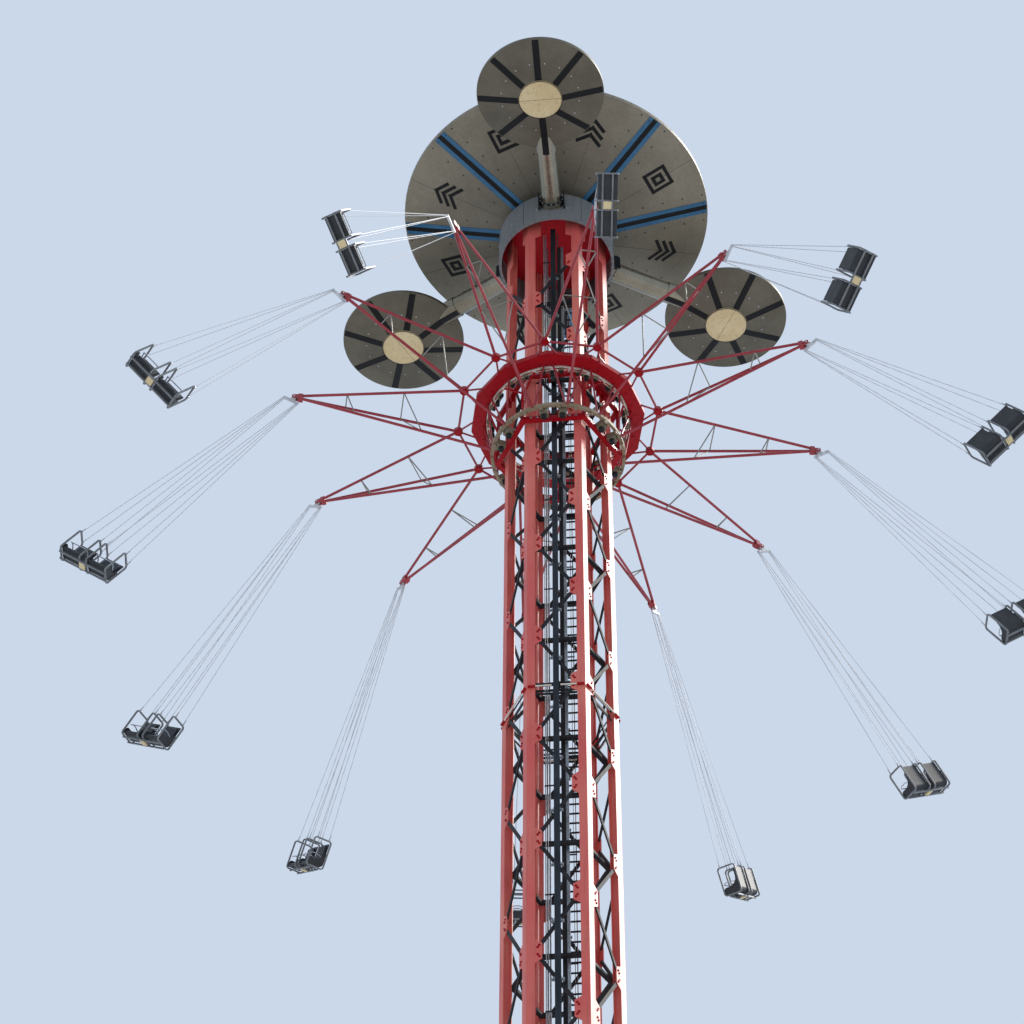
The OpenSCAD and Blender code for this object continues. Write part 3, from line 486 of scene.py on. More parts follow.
def tower_bolts():
    bolts = Pile("tab_bolts", deep_enamel)
    clips = Pile("rail_clips", zinc)
    for side in range(6):
        for k in range(TAB_COUNT - 1):
            lean = -1 if k % 2 == (side + 1) % 2 else 1
            start = Vector((lean * BRACE_X, tab_height(k) + BRACE_Z))
            end = Vector((-lean * BRACE_X, tab_height(k + 1) - BRACE_Z))
            step = (end - start).normalized() * BOLT_PITCH
            for spot in (start - step * 0.2, start - step * 1.2, end + step * 0.2, end + step * 1.2):
                bolts.bolt(on_face(60 * side, spot.x, FACE_OUT, spot.y) @ OUTWARD, *TAB_BOLT)
            if side not in RAIL_SIDES:
                continue
            middle = (start + end) / 2
            for x in (-1, 1):
                clip = on_face(60 * side, x * RAIL_HALF, FACE_OUT - PLATE, middle.y)
                low, high = sorted((0, x * 0.036))
                clips.box(clip, (low, -0.008, -CLIP_HALF), (high, 0, CLIP_HALF))
                clips.box(clip, (min(0, x * 0.006), -0.03, -CLIP_HALF), (max(0, x * 0.006), -0.007, CLIP_HALF))
                head = on_face(60 * side, x * 0.056, FACE_OUT - PLATE + 0.008, middle.y)
                clips.bolt(head @ OUTWARD, *CLIP_BOLT)
    return bolts.made() + clips.made()


def foot_bolts():
    """Anchors of the foot: washer, nut and the end of the thread."""
    bolts = Pile("anchor_bolts", zinc)
    for i in range(ANCHORS):
        place = on_face((i + 0.5) * 360 / ANCHORS, 0, ANCHOR_R, FLANGE_TOP)
        bolts.rod(place, (0.034, 0.034), (0, 0.006), sides=16)
        bolts.rod(place, (0.03, 0.03), (0.006, 0.03), sides=6)
        bolts.rod(place, (0.0175, 0.0175, 0.014), (0.0, 0.058, 0.062), sides=12)
    return bolts.made()


print("tower bolts and clips:", tower_bolts() + foot_bolts(), "faces")

# %% [markdown]
# The tower is delivered in lengths. At each joint a round tie bar with thick red ends runs across every
# face, just outside the flanges, and black flats tie the rail, the ladder and the legs behind it. Each bar is
# one turned solid, parted in the middle where a rail has to pass.

# %% Tower joints
JOINT_ZS = [tab_height(k) - 0.07 for k in (10, 22, 34)]
BAR_OUT, BAR_R, RAIL_BERTH = 0.0165, 0.010, 0.05
# Height above the joint, depth behind the face, and width of each flat
JOINT_FLATS = ((-0.1, 0.031, 0.03), (-0.035, 0.048, 0.036), (0.04, 0.031, 0.03), (0.1, 0.052, 0.02))


def tower_joints():
    bars = Pile("joint_tie_bars", white_paint)
    ends = Pile("joint_bar_ends", deep_enamel)
    flats = Pile("joint_flats", black_paint)
    for z in JOINT_ZS:
        for side in range(6):
            place = on_face(60 * side, 0, FACE_OUT + BAR_OUT, z) @ Matrix.Rotation(math.radians(90), 4, "Y")
            gap = RAIL_BERTH if side in RAIL_SIDES else 0.0
            for s in (-1, 1):
                bars.rod(place, (BAR_R, BAR_R), sorted((s * gap, s * 0.25)), sides=12)
                ends.rod(place, (0.013, 0.016, 0.016, 0.011), sorted((s * 0.235, s * 0.245, s * 0.315, s * 0.322)),
                         sides=14)
            for dz, depth, high in JOINT_FLATS:
                flats.box(on_face(60 * side, 0, FACE_OUT - depth, z + dz), (-0.236, 0, 0), (0.236, 0.008, high))
    return bars.made() + ends.made() + flats.made()


print("tower joints:", tower_joints(), "faces")

# %% [markdown]
# Two thin pipes climb beside each rail on small brackets, and two cable ducts are clipped on behind the
# ladder. They run straight from foot to head, so a long rod or three strips each are enough. The rungs get
# The rungs get black paint as painted shade: in the ladder's one solid, a face is a rung's if it lies between the
# side bars.

# %% Pipes, ducts and ladder rungs
PIPES = ((-0.126, 0.006), (-0.1, 0.004))
PIPE_FOOT, DRUM_FOOT = 0.3, 37.45
LADDER_X, LADDER_W, LADDER_OUT = 0.118, 0.2, 0.411
DUCT_WALL = 0.003


def tower_pipes():
    pipes = Pile("riser_pipes", slate_paint)
    brackets = Pile("pipe_brackets", black_paint)
    ducts = Pile("ladder_ducts", zinc)
    trays = Pile("ladder_trays", black_paint)
    for side in RAIL_SIDES:
        for x, radius in PIPES:
            pipes.rod(on_face(60 * side, x, FACE_OUT - 0.040, PIPE_FOOT), (radius, radius), (0, DRUM_FOOT - 0.3),
                      sides=8)
        for k in range(0, TAB_COUNT, 2):
            bracket = on_face(60 * side, 0, FACE_OUT, tab_height(k))
            brackets.box(bracket, (-0.136, 0.0285, -0.01), (-0.02, 0.0335, 0.01))
    foot = on_face(0, LADDER_X, LADDER_OUT, PIPE_FOOT)
    for pile, x0, x1, deep in ((trays, -0.081, -0.035, 0.04), (ducts, -0.031, 0.002, 0.028)):
        pile.box(foot, (x0, 0.0083, 0), (x1, 0.0123, DRUM_FOOT - 0.4))
        for edge in (x0, x1 - DUCT_WALL):
            pile.box(foot, (edge, 0.012, 0), (edge + DUCT_WALL, deep, DRUM_FOOT - 0.4))
    return pipes.made() + brackets.made() + ducts.made() + trays.made()


def paint_rung_shade():
    ladder = NODES["ladder"].data
    # Black on the rungs is painted shade
    ladder.materials.append(black_paint)
    count = 0
    for polygon in ladder.polygons:
        if abs(polygon.center.x - LADDER_X) < LADDER_W / 2 - 0.008:
            polygon.material_index = 1
            count += 1
    return count


print("pipes and ducts:", tower_pipes(), "faces; rungs:", paint_rung_shade(), "faces")

# %% [markdown]
# Head. The drum is rolled from sheets that meet in upright seams, with round access covers between them; its
# lower rim and its top edge are bolted all round. Seams could be a bump in the paint, but they also show
# at the edge, so they are thin solids.

# %% Drum
DRUM_R, DRUM_Z, DRUM_H = 0.775, 37.511, 0.556
DRUM_TOP = DRUM_Z + DRUM_H
DRUM_SHEETS, COVERS, RIM_BOLTS, EDGE_BOLTS = 6, 12, 48, 24
RIM_BOLT, EDGE_BOLT = (0.016, 0.011), (0.014, 0.010)


def dress_drum():
    seams = Pile("drum_seams", stripe_paint)
    covers = Pile("drum_covers", zinc)
    bolts = Pile("drum_bolts", slate_paint)
    for i in range(DRUM_SHEETS):
        seams.box(on_face(360 / DRUM_SHEETS * (i + 0.5), 0, DRUM_R, DRUM_Z), (-0.002, -0.0015, 0.02),
                  (0.002, 0.004, DRUM_H - 0.01))
    for i in range(COVERS):
        place = on_face(360 / COVERS * (i + 0.5), 0, DRUM_R, DRUM_Z + DRUM_H * 0.45) @ OUTWARD
        covers.rod(place, (0.028, 0.028, 0.02), (-0.006, 0.006, 0.01), sides=16)
    for i in range(RIM_BOLTS):
        bolts.bolt(on_face(360 / RIM_BOLTS * (i + 0.5), 0, DRUM_R - 0.018, DRUM_Z) @ DOWNWARD, *RIM_BOLT)
    for i in range(EDGE_BOLTS):
        bolts.bolt(on_face(360 / EDGE_BOLTS * i, 0, DRUM_R, DRUM_TOP - 0.03) @ OUTWARD, *EDGE_BOLT)
    return seams.made() + covers.made() + bolts.made()


print("drum small parts:", dress_drum(), "faces")

# %% [markdown]
# The cone of the big disc is sheet too: each blue stripe carries a narrower black one, a row of dome bolts
# runs beside it on both sides, and a thin seam parts the sheets between two stripes. A stripe could be a mask
# in the material; as a thin strip laid along the cone it keeps a sharp edge from near.

# %% Big disc
DISC_R, DISC_RISE = 2.073, 0.386
NECK_R, NECK_H = 0.600, 0.181
NECK_TOP = DRUM_TOP + NECK_H
CONE = math.atan2(DISC_RISE, DISC_R - NECK_R)
STRIPES, CORE_HALF, SEAM_HALF = 8, 0.034, 0.0015
DOME_ROW_X, DOME_FIRST, DOME_STEP = 0.205, 0.93, 0.27


def under_cone(x, y, drop, foot_r=NECK_R, foot_z=NECK_TOP, slope=CONE):
    """Point below a cone: x across, y outwards, drop at right angles to the sheet."""
    r = math.hypot(x, y)
    return Vector((x, -y, foot_z + (r - foot_r) * math.tan(slope) - drop / math.cos(slope)))


def cone_strip(pile, az, x0, x1, y0, y1, top, bottom, steps=10, **cone):
    """Flat strip that follows the cone, between two lines x0 and x1 on either side of a radius."""
    rings = []
    for i in range(steps + 1):
        y = y0 + (y1 - y0) * i / steps
        rings.append([turned(az) @ under_cone(x, y, d, **cone)
                      for x, d in ((x0, top), (x1, top), (x1, bottom), (x0, bottom))])
    pile.loft(rings)


def cone_rivet(pile, az, x, y, top, radius=0.008, **cone):
    spot = under_cone(x, y, top, **cone)
    slope = cone.get("slope", CONE)
    tilt = Matrix.Rotation(-slope, 4, "X")
    place = turned(az) @ Matrix.Translation(spot) @ tilt @ DOWNWARD
    pile.rod(place, (radius, radius * 0.8, radius * 0.4), (-0.001, radius * 0.45, radius * 0.7), sides=8)


def dress_big_disc():
    cores = Pile("stripe_cores", stripe_paint)
    rivets = Pile("disc_rivets", rail_steel)
    seams = Pile("disc_seams", rail_steel)
    for i in range(STRIPES):
        az = i * 360 / STRIPES
        cone_strip(cores, az, -CORE_HALF, CORE_HALF, NECK_R + 0.03, DISC_R - 0.012, 0.005, 0.0085)
        for s in (-1, 1):
            for k in range(5):
                cone_rivet(rivets, az, s * DOME_ROW_X, DOME_FIRST + DOME_STEP * k, 0.0, 0.012)
            cone_rivet(rivets, az, s * 0.075, DISC_R - 0.06, 0.005, 0.009)
        cone_strip(seams, az + 22.5, -SEAM_HALF, SEAM_HALF, NECK_R + 0.02, DISC_R - 0.02, -0.002, 0.0012)
    for i in range(96):
        rivets.rod(on_face(3.75 * i, 0, DISC_R, NECK_TOP + DISC_RISE + 0.03) @ OUTWARD,
                   (0.007, 0.004), (-0.002, 0.005), sides=6)
    return cores.made() + rivets.made() + seams.made()


print("big disc:", dress_big_disc(), "faces")

# %% [markdown]
# The three small discs have plain black stripes, one of them in line with the tube that carries the disc,
# and a ring of sixteen dome bolts. The strips could be reckoned in place, but it is simpler to lay them round
# the tower's axis first, as for the big disc, and then to move them out to the disc's own.

# %% Small discs
SMALL_AT, SMALL_R, CAP_R = 2.564, 0.830, 0.287
SMALL_RIM_Z, SMALL_DROP = DRUM_Z + 0.254, 0.140
SMALL_CONE = {"foot_r": CAP_R, "foot_z": SMALL_RIM_Z - SMALL_DROP,
              "slope": math.atan2(SMALL_DROP, SMALL_R - CAP_R)}
CAP_FOOT = SMALL_RIM_Z - SMALL_DROP - 0.012
DOME_RING_R, SMALL_CORE = 0.51, 0.043
CAP_RING = ((0.01, -0.003), (0.001, -0.003), (0.001, 0.002), (0.01, 0.002))


def dress_small_discs():
    stripes = Pile("small_disc_stripes", stripe_paint)
    rivets = Pile("small_disc_rivets", bright_steel)
    trim = Pile("small_disc_cap_rings", rail_steel)
    for j in range(3):
        shift = turned(120 * j) @ Matrix.Translation((0, -SMALL_AT, 0))
        stripe, rivet, edge = (Pile("unplaced", None) for _ in range(3))
        for i in range(STRIPES):
            az = 45 * i
            cone_strip(stripe, az, -SMALL_CORE, SMALL_CORE, CAP_R + 0.004, SMALL_R - 0.012, -0.002, 0.005, 4,
                       **SMALL_CONE)
            for k in (-1, 1):
                cone_rivet(rivet, az + 11.25 * k, 0, DOME_RING_R, 0.0, 0.011, **SMALL_CONE)
        for i in range(24):
            place = on_face(15 * i, 0, CAP_R - 0.028, CAP_FOOT) @ DOWNWARD
            rivet.rod(place, (0.006, 0.003), (-0.002, 0.004), sides=6)
        edge.loft([[on_face(7.5 * i, 0, CAP_R - inset, CAP_FOOT + z) @ Vector() for inset, z in CAP_RING]
                   for i in range(48)], closed=True)
        seam = CAP_R - 0.01
        edge.box(Matrix.Translation((0, 0, CAP_FOOT)), (-seam, -0.0015, -0.0012), (seam, 0.0015, 0.001))
        for whole, part in zip((stripes, rivets, trim), (stripe, rivet, edge)):
            first = len(whole.points)
            whole.points.extend(tuple(shift @ Vector(p)) for p in part.points)
            whole.faces.extend(tuple(first + i for i in face) for face in part.faces)
    return stripes.made() + rivets.made() + trim.made()


print("small discs:", dress_small_discs(), "faces")

# %% [markdown]
# Between the stripes the big disc carries painted signs. They are plain geometric figures here, nested
# squares and groups of chevrons in turn. They could be painted by a mask; strokes cut from thin dark sheet,
# lying just under the cone, are crisp at any distance.

# %% Ornaments
SIGN_AT, STROKE = 1.55, 0.046
SQUARE_HALVES = (0.14, 0.055)
CHEVRON_HALF, CHEVRON_LIFTS = 0.15, (-0.1, 0.0, 0.1)


def sign_bars(pile, az, corners):
    """Strokes along a line of corner points, x across and y outwards from the middle of the sign."""
    for (xa, ya), (xb, yb) in zip(corners, corners[1:]):
        along = Vector((xb - xa, yb - ya)).normalized() * (STROKE / 2)
        side = Vector((-along.y, along.x))
        a, b = Vector((xa, ya)) - along, Vector((xb, yb)) + along
        pile.loft([[turned(az) @ under_cone(p.x, SIGN_AT + p.y, d)
                    for p in (a - side, b - side, b + side, a + side)] for d in (-0.002, 0.004)])


def dress_ornaments():
    figures = Pile("disc_ornaments", stripe_paint)
    for i in range(STRIPES):
        az = 22.5 + 45 * i
        if i % 2:
            for h in SQUARE_HALVES:
                sign_bars(figures, az, [(-h, -h), (h, -h), (h, h), (-h, h), (-h, -h)])
        else:
            for lift in CHEVRON_LIFTS:
                sign_bars(figures, az, [(-CHEVRON_HALF, lift - 0.05), (0, lift + 0.06), (CHEVRON_HALF, lift - 0.05)])
    return figures.made()


print("ornaments:", dress_ornaments(), "faces")

# %% [markdown]
# Each small disc hangs on a tube that leaves the drum through a dark clamp with two ears and a ring of bolts; the
# clamp's dark finish is partly painted shade at the foot of the tube. The disc's black stripe runs on over the tube's
# sleeve. The stripe could be bent round by a modifier; a loft from one arc to another is shorter.

# %% Arms of the small discs
ARM_TUBE_Z, DISC_ARM_R = SMALL_RIM_Z + 0.090, 0.132
COLLAR_R, SLEEVE_R = DISC_ARM_R + 0.026, DISC_ARM_R + 0.012
SLEEVE_IN = SMALL_AT - SMALL_R - 0.095
COLLAR_BOLTS, COLLAR_BOLT = 14, (0.014, 0.010)
TONGUE_ARC = [math.radians(17 * k / 6) for k in range(-6, 7)]


def dress_disc_arms():
    clamps = Pile("disc_arm_clamps", rail_steel)
    tongues = Pile("disc_arm_tongues", stripe_paint)
    bolts = Pile("disc_arm_bolts", bright_steel)
    for j in range(3):
        foot = on_face(120 * j, 0, DRUM_R, ARM_TUBE_Z)
        for s in (-1, 1):
            low, high = sorted((s * (COLLAR_R + 0.004), s * (COLLAR_R + 0.016)))
            clamps.box(foot, (low, -0.1, -0.13), (high, 0.024, 0.13))
        # The dark collar round the tube's foot is partly painted shade
        clamps.rod(on_face(120 * j, 0, DRUM_R + 0.062, ARM_TUBE_Z) @ OUTWARD,
                   (COLLAR_R - 0.004, COLLAR_R - 0.004, DISC_ARM_R + 0.008), (-0.001, 0.008, 0.014), sides=40)
        for i in range(COLLAR_BOLTS):
            a = math.tau * (i + 0.5) / COLLAR_BOLTS
            r = (COLLAR_R + DISC_ARM_R) / 2 + 0.004
            place = on_face(120 * j, r * math.cos(a), DRUM_R + 0.07, ARM_TUBE_Z + r * math.sin(a))
            bolts.bolt(place @ OUTWARD, *COLLAR_BOLT)
        arcs = []
        for out in (SLEEVE_IN + 0.002, SLEEVE_IN + 0.3):
            outer, inner = ([on_face(120 * j, r * math.sin(t), out, ARM_TUBE_Z - r * math.cos(t)) @ Vector()
                             for t in TONGUE_ARC] for r in (SLEEVE_R + 0.0035, SLEEVE_R - 0.0015))
            arcs.append(outer + inner[::-1])
        tongues.loft(arcs)
    return clamps.made() + tongues.made() + bolts.made()


print("arms of the small discs:", dress_disc_arms(), "faces")

# %% [markdown]
# Rotor. A welded ring truss has a bolted node plate over and under each of its twelve corners, a fork at each
# arm tip, and bolts along the band. A texture could show them, but only real heads catch the sun.

# %% Rotor nodes and arm tips
NODE_Z, NODE_R, ARM_AZ = 34.119, 1.275, 12.4
BAND_IN_R, BAND_FOOT = 0.912, NODE_Z - 0.034
TIP_R, TIP_Z = 3.345, 34.119 - 0.071
LOWER_Z, LOWER_R = 34.119 - 0.690, 0.825
PLATE_R, NODE_BOLT_R = 0.05, 0.036
NODE_BOLT, BAND_BOLT, FORK_BOLT = (0.010, 0.006), (0.018, 0.011), (0.012, 0.008)


def dress_rotor():
    plates = Pile("rotor_node_plates", deep_enamel, "rotor")
    for i in range(12):
        az = ARM_AZ + 15 + 30 * i
        node = on_face(az, 0, NODE_R, NODE_Z - 0.025)
        plates.rod(node @ DOWNWARD, (PLATE_R, PLATE_R), (-0.001, 0.008), sides=8)
        plates.rod(node @ Matrix.Translation((0, 0, 0.05)), (PLATE_R, PLATE_R), (-0.001, 0.008), sides=8)
        for k in range(6):
            a = math.tau * k / 6
            x, y = NODE_BOLT_R * math.cos(a), NODE_BOLT_R * math.sin(a)
            for flip, lift in ((DOWNWARD, -0.008), (Matrix(), 0.058)):
                plates.bolt(node @ Matrix.Translation((x, y, lift)) @ flip, *NODE_BOLT)
        for turn in (-9, 9):
            plates.bolt(on_face(az + turn, 0, BAND_IN_R + 0.06, BAND_FOOT) @ DOWNWARD, *BAND_BOLT)
    return plates.made()


def dress_arm_tips():
    bolts = Pile("tip_fork_bolts", deep_enamel, "rotor")
    for i in range(12):
        for x in (-0.03, 0.03):
            for out in (TIP_R - 0.098, TIP_R - 0.062):
                bolts.bolt(on_face(ARM_AZ + 30 * i, x, out, TIP_Z + 0.04), *FORK_BOLT)
    return bolts.made()


print("rotor nodes and arm tips:", dress_rotor() + dress_arm_tips(), "faces")

# %% [markdown]
# Carriage. Gearboxes with their motors stand round the inside of the bearing ring and clamps hang under it, and drive
# units sit in pairs inside the lower ring. Thin dark red plates under the ring are painted shade for its openings. An
# array could copy them; turning one place about the tower is as short, and leaves one mesh.

# %% Carriage
RING_LOW = NODE_Z - 0.059
FRAME_OUT = FACE_OUT + 0.108
FRAME_BOLT = (0.018, 0.012)
UNIT_FOOT = -0.105


def drive_unit(blocks, motors, bolts, unit):
    blocks.box(unit, (-0.05, -0.052, UNIT_FOOT), (0.05, 0.052, -0.01))
    motors.rod(unit @ Matrix.Translation((0, 0, UNIT_FOOT)) @ DOWNWARD,
               (0.03, 0.034, 0.034, 0.022), (-0.001, 0.004, 0.05, 0.06), sides=16)
    for x in (-0.038, 0.038):
        for z in (-0.09, -0.025):
            bolts.bolt(unit @ Matrix.Translation((x, -0.052, z)) @ OUTWARD, *FORK_BOLT)


def dress_carriage():
    motors = Pile("drive_motors", black_paint, "carriage")
    blocks = Pile("drive_gearboxes", stone_paint, "carriage")
    bolts = Pile("carriage_bolts", bright_steel, "carriage")
    slot_shade = Pile("painted_slot_shade", deep_enamel, "carriage")
    for i in range(12):
        place = on_face(30 * i, 0, 0.862, RING_LOW)
        blocks.box(place, (-0.06, 0.0, 0.004), (0.06, 0.052, 0.068))
        for turn in (-7.5, 7.5):
            clamp = on_face(30 * i + turn, 0, 0.884, RING_LOW)
            blocks.box(clamp, (-0.03, -0.018, -0.012), (0.03, 0.03, -0.0005))
            motors.box(clamp, (-0.024, 0.024, -0.03), (0.024, 0.06, 0.03))
        # Dark red plates under the ring: painted shade of its openings
        for turn in (-11, -3.7, 3.7, 11):
            slot_shade.box(on_face(30 * i + turn, 0, 0.884, RING_LOW), (-0.036, -0.008, -0.003), (0.036, 0.008, -0.0002))
        motors.rod(place @ Matrix.Translation((0.0, 0.026, 0.012)) @ DOWNWARD,
                   (0.02, 0.026, 0.026, 0.018), (-0.001, 0.006, 0.085, 0.095), sides=14)
        for x in (-0.036, 0.036):
            for z in (0.022, 0.058):
                bolts.bolt(place @ Matrix.Translation((x, 0.05, z)) @ INWARD, *FORK_BOLT)
        if i % 2 == 0:
            for turn in (-9, 9):
                drive_unit(blocks, motors, bolts, on_face(30 * i + turn, 0, 0.742, LOWER_Z))
    for side in range(6):
        for z in (LOWER_Z - 0.11 + 0.03, NODE_Z + 0.12):
            for x in (-0.28, -0.2, 0.2, 0.28):
                bolts.bolt(on_face(60 * side, x, FRAME_OUT, z) @ OUTWARD, *FRAME_BOLT)
        for x in (-0.3, 0.3):
            blocks.box(on_face(60 * side, x, FRAME_OUT, NODE_Z + 0.09), (-0.03, -0.008, 0.004), (0.03, 0, 0.056))
    return motors.made() + blocks.made() + bolts.made() + slot_shade.made()


print("carriage:", dress_carriage(), "faces")

# %% [markdown]
# The thin bracing tubes of the arms are bare steel, while the chords are painted. Both are in one solid, so
# the faces are told apart by their distance from the chord lines: what lies farther out than a chord's own
# radius is lacing.

# %% Bare lacing
CHORD_REACH = 0.0195
CHORD_ENDS = ((-0.022, 0, 0.018), (0.022, 0, 0.018), (0, 0, -0.01))


def paint_lacing():
    count = 0
    chords = []
    for i in range(12):
        az = ARM_AZ + 30 * i
        block = on_face(az, 0, TIP_R - 0.09, TIP_Z)
        feet = (polar(NODE_R, az - 15, NODE_Z), polar(NODE_R, az + 15, NODE_Z), polar(LOWER_R, az, LOWER_Z - 0.025))
        chords.extend((foot, block @ Vector(end) - foot) for foot, end in zip(feet, CHORD_ENDS))
    for group in range(4):
        mesh = NODES["arms_" + str(group + 1)].data
        mesh.materials.append(lace_steel)
        near = chords[9 * group:9 * group + 9]
        for polygon in mesh.polygons:
            spot = polygon.center
            reach = min((spot - foot - along * max(0, min(1, (spot - foot).dot(along) / along.length_squared))).length
                        for foot, along in near)
            if reach > CHORD_REACH and math.hypot(spot.x, spot.y) < TIP_R - 0.2:
                polygon.material_index = 1
                count += 1
    return count


print("lacing:", paint_lacing(), "faces")

# %% [markdown]
# Swings. Each double chair is a pair of moulded shells in a welded tube frame. The hoops and cross bars of
# the model's chair are steel and the box between the chairs is painted. Blender could part the solid into
# pieces; it is enough to tell its faces apart by where they lie in the swing's own frame.

# %% Swing frames and chair finishes
FLY, TRAIL = 35, 6
CHAIR_W, PAN_D, BACK_H, CHAIR_GAP, SHELL, HOOP = 0.250, 0.215, 0.330, 0.120, 0.012, 0.018
SPREADER_FOOT, ROPE_DROP, SEAT_GAP = -0.085, 3.560, 0.0003
CHAIR_TOP = SPREADER_FOOT - ROPE_DROP
CHAIR_Y = CHAIR_GAP / 2 + CHAIR_W / 2 + SHELL
BARS_TOP = CHAIR_TOP - 0.3904
BOX_X, BOX_Y, BOX_FOOT = 0.0447, 0.0417, CHAIR_TOP - 0.409
# Hoops and bars: a mid grey that is partly painted shade, so that they stay dark against the sky
hoop_enamel = painted_steel("mid_grey_enamel", "#6A6E72", "#7E8286", "#4C4F52", 0.4, patch_mm=200)


def swing_frame(i):
    az = ARM_AZ + 30 * i
    return (Matrix.Translation(polar(TIP_R, az, TIP_Z)) @ turned(az - TRAIL)
            @ Matrix.Rotation(math.radians(-FLY), 4, "X"))


def paint_chair(node, to_local):
    """Gives the hoops, the cross bars and the box between the chairs their own finishes."""
    mesh = node.data
    for material in (hoop_enamel, cream_paint):
        mesh.materials.append(material)
    for polygon in mesh.polygons:
        x, y, z = to_local @ node.matrix_world @ polygon.center
        if z < BARS_TOP:
            polygon.material_index = 2 if abs(x) < BOX_X and abs(y) < BOX_Y and z > BOX_FOOT else 1
        elif abs(abs(y) - CHAIR_Y) > CHAIR_W / 2 + SHELL + 0.0001:
            polygon.material_index = 1
    return len(mesh.polygons)


print("chair faces sorted:", sum(paint_chair(NODES["chair_" + str(i + 1)], swing_frame(i).inverted())
                                 for i in range(12)))

# %% [markdown]
# Cushions, lap bars and the eyes of the ropes are added to each swing. A cushion could be a box under a
# subdivision modifier; its outline lofted across the seat and drawn in at both ends has few faces.

# %% Cushions, lap bars and rope eyes
PAN_Z = CHAIR_TOP - BACK_H - 0.025
HOOP_Y = CHAIR_W / 2 + SHELL + SEAT_GAP + HOOP / 2
ROPE_X = PAN_D / 2 + HOOP - 0.042 - 0.002
SEAT_PAD = [(0.1, 0.028), (0.112, 0.008), (0.1, 0.0), (-0.07, 0.0), (-0.075, 0.02), (-0.06, 0.034)]
BACK_PAD = [(-0.092, 0.06), (-0.092, 0.28), (-0.078, 0.295), (-0.066, 0.28), (-0.066, 0.075), (-0.078, 0.06)]
PAD_HALF, PAD_SOFT, PAD_END = CHAIR_W / 2 - 0.02, 0.012, 0.72
LAP_BAR, LAP_BAR_R = [(-0.05, 0.13), (0.02, 0.15), (0.075, 0.145), (0.098, 0.125)], 0.007
# Cushions: vinyl over foam, with a coarser grain than the shells
cushion_vinyl = moulded("padded_vinyl", "#2A2F36", "#3D434B", 0.55, grain_mm=5)


def cushion(frame_at, outline, y0, lift):
    """Rings of one cushion across its seat, drawn in towards their middle at both ends."""
    mx, mz = (sum(c) / len(outline) for c in zip(*outline))
    return [[frame_at @ Vector((mx + (x - mx) * keep, y0 + y, PAN_Z + lift + mz + (z - mz) * keep))
             for x, z in outline]
            for y, keep in ((-PAD_HALF, PAD_END), (PAD_SOFT - PAD_HALF, 1), (PAD_HALF - PAD_SOFT, 1),
                            (PAD_HALF, PAD_END))]


def dress_swings():
    faces = 0
    for i in range(12):
        body = "swing_" + str(i + 1)
        frame_at = swing_frame(i)
        pads = Pile("chair_cushions_" + str(i + 1), cushion_vinyl, body)
        bars = Pile("lap_bars_" + str(i + 1), bright_steel, body)
        for y0 in (-CHAIR_Y, CHAIR_Y):
            pads.loft(cushion(frame_at, SEAT_PAD, y0, 0.001))
            pads.loft(cushion(frame_at, BACK_PAD, y0, 0.0))
            left = [Vector((x, y0 - CHAIR_W / 2 + 0.012, PAN_Z + z)) for x, z in LAP_BAR]
            right = [Vector((x, y0 + CHAIR_W / 2 - 0.012, PAN_Z + z)) for x, z in reversed(LAP_BAR)]
            bars.tube([frame_at @ p for p in left + right], LAP_BAR_R, 6)
            for x in (-ROPE_X, ROPE_X):
                for y in (-HOOP_Y, HOOP_Y):
                    eye = frame_at @ Matrix.Translation((x, y0 + y, CHAIR_TOP - 0.004))
                    bars.rod(eye, (0.012, 0.012, 0.007, 0.006), (-0.008, 0.02, 0.034, 0.075), sides=8)
        faces += pads.made() + bars.made()
    return faces


print("swing small parts:", dress_swings(), "faces; finishes in all:", len(bpy.data.materials))

# %% [markdown]
# A big soft sun stands in for the bright side light of the photograph, and a pale sky lights the undersides;
# area lamps would have to be huge at this size. The backdrop is the pale blue of a clear day, seen by the
# camera and in reflections only.

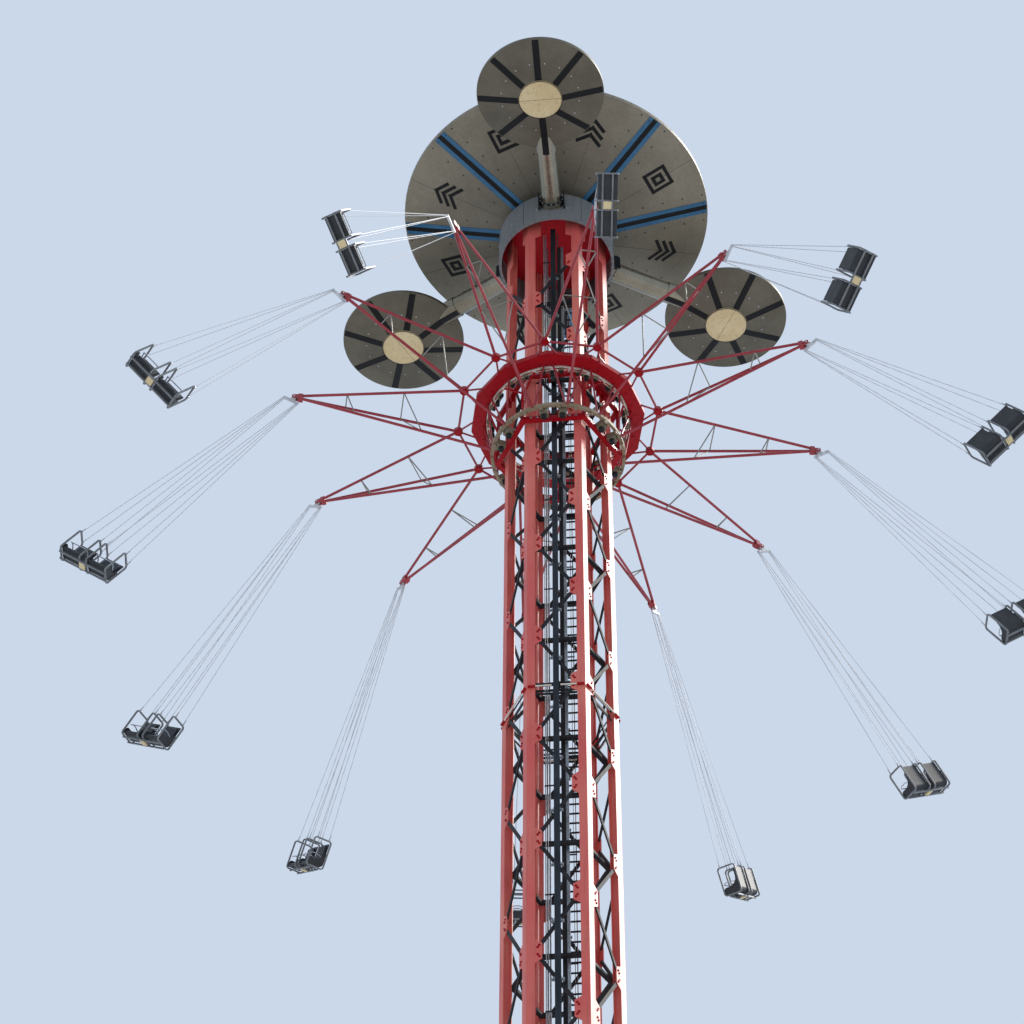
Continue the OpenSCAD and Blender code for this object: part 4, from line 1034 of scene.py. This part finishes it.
# %% Light, sky and floor
SUN_AZ, SUN_HEIGHT, SUN_STRENGTH, SUN_ANGLE = 112, 46, 3.3, 12
SUN_COLOUR = (1.0, 0.96, 0.9)
SKY_LIGHT = 0.74
FLOOR_HALF = 60.0


def light_the_scene():
    sun_data = bpy.data.lights.new("soft_sun", "SUN")
    sun_data.energy = SUN_STRENGTH
    sun_data.angle = math.radians(SUN_ANGLE)
    sun_data.color = SUN_COLOUR
    sun = bpy.data.objects.new("soft_sun", sun_data)
    bpy.context.scene.collection.objects.link(sun)
    towards = polar(1, SUN_AZ, math.tan(math.radians(SUN_HEIGHT)))
    sun.rotation_euler = towards.to_track_quat("Z", "Y").to_euler()
    world = bpy.data.worlds.new("pale_sky")
    bpy.context.scene.world = world
    world.use_nodes = True
    tree = world.node_tree
    rays = add(tree, "ShaderNodeLightPath").outputs
    seen = add(tree, "ShaderNodeMath", {0: rays["Is Camera Ray"], 1: rays["Is Glossy Ray"]}, operation="MAXIMUM")
    seen = add(tree, "ShaderNodeMath", {0: seen.outputs[0], 1: rays["Is Transmission Ray"]}, operation="MAXIMUM")
    backdrop = add(tree, "ShaderNodeBackground", {"Color": linear("#CBD8EA"), "Strength": 1.0})
    fill = add(tree, "ShaderNodeBackground", {"Color": linear("#DDE4EE"), "Strength": SKY_LIGHT})
    both = add(tree, "ShaderNodeMixShader", {0: seen.outputs[0], 1: fill.outputs[0], 2: backdrop.outputs[0]})
    tree.links.new(both.outputs[0], tree.nodes["World Output"].inputs["Surface"])


def lay_floor():
    h = FLOOR_HALF
    mesh = bpy.data.meshes.new("pale_floor")
    mesh.from_pydata([(-h, -h, 0), (h, -h, 0), (h, h, 0), (-h, h, 0)], [], [(0, 1, 2, 3)])
    floor = bpy.data.objects.new("pale_floor", mesh)
    bpy.context.scene.collection.objects.link(floor)
    made, _, shader, _ = new_material("pale_floor")
    shader.inputs["Base Color"].default_value = linear("#CBCED3")
    shader.inputs["Roughness"].default_value = 0.9
    mesh.materials.append(made)


light_the_scene()
lay_floor()
bpy.context.scene.view_settings.view_transform = "Standard"
print("sun from", SUN_AZ, "degrees, at a height of", SUN_HEIGHT)
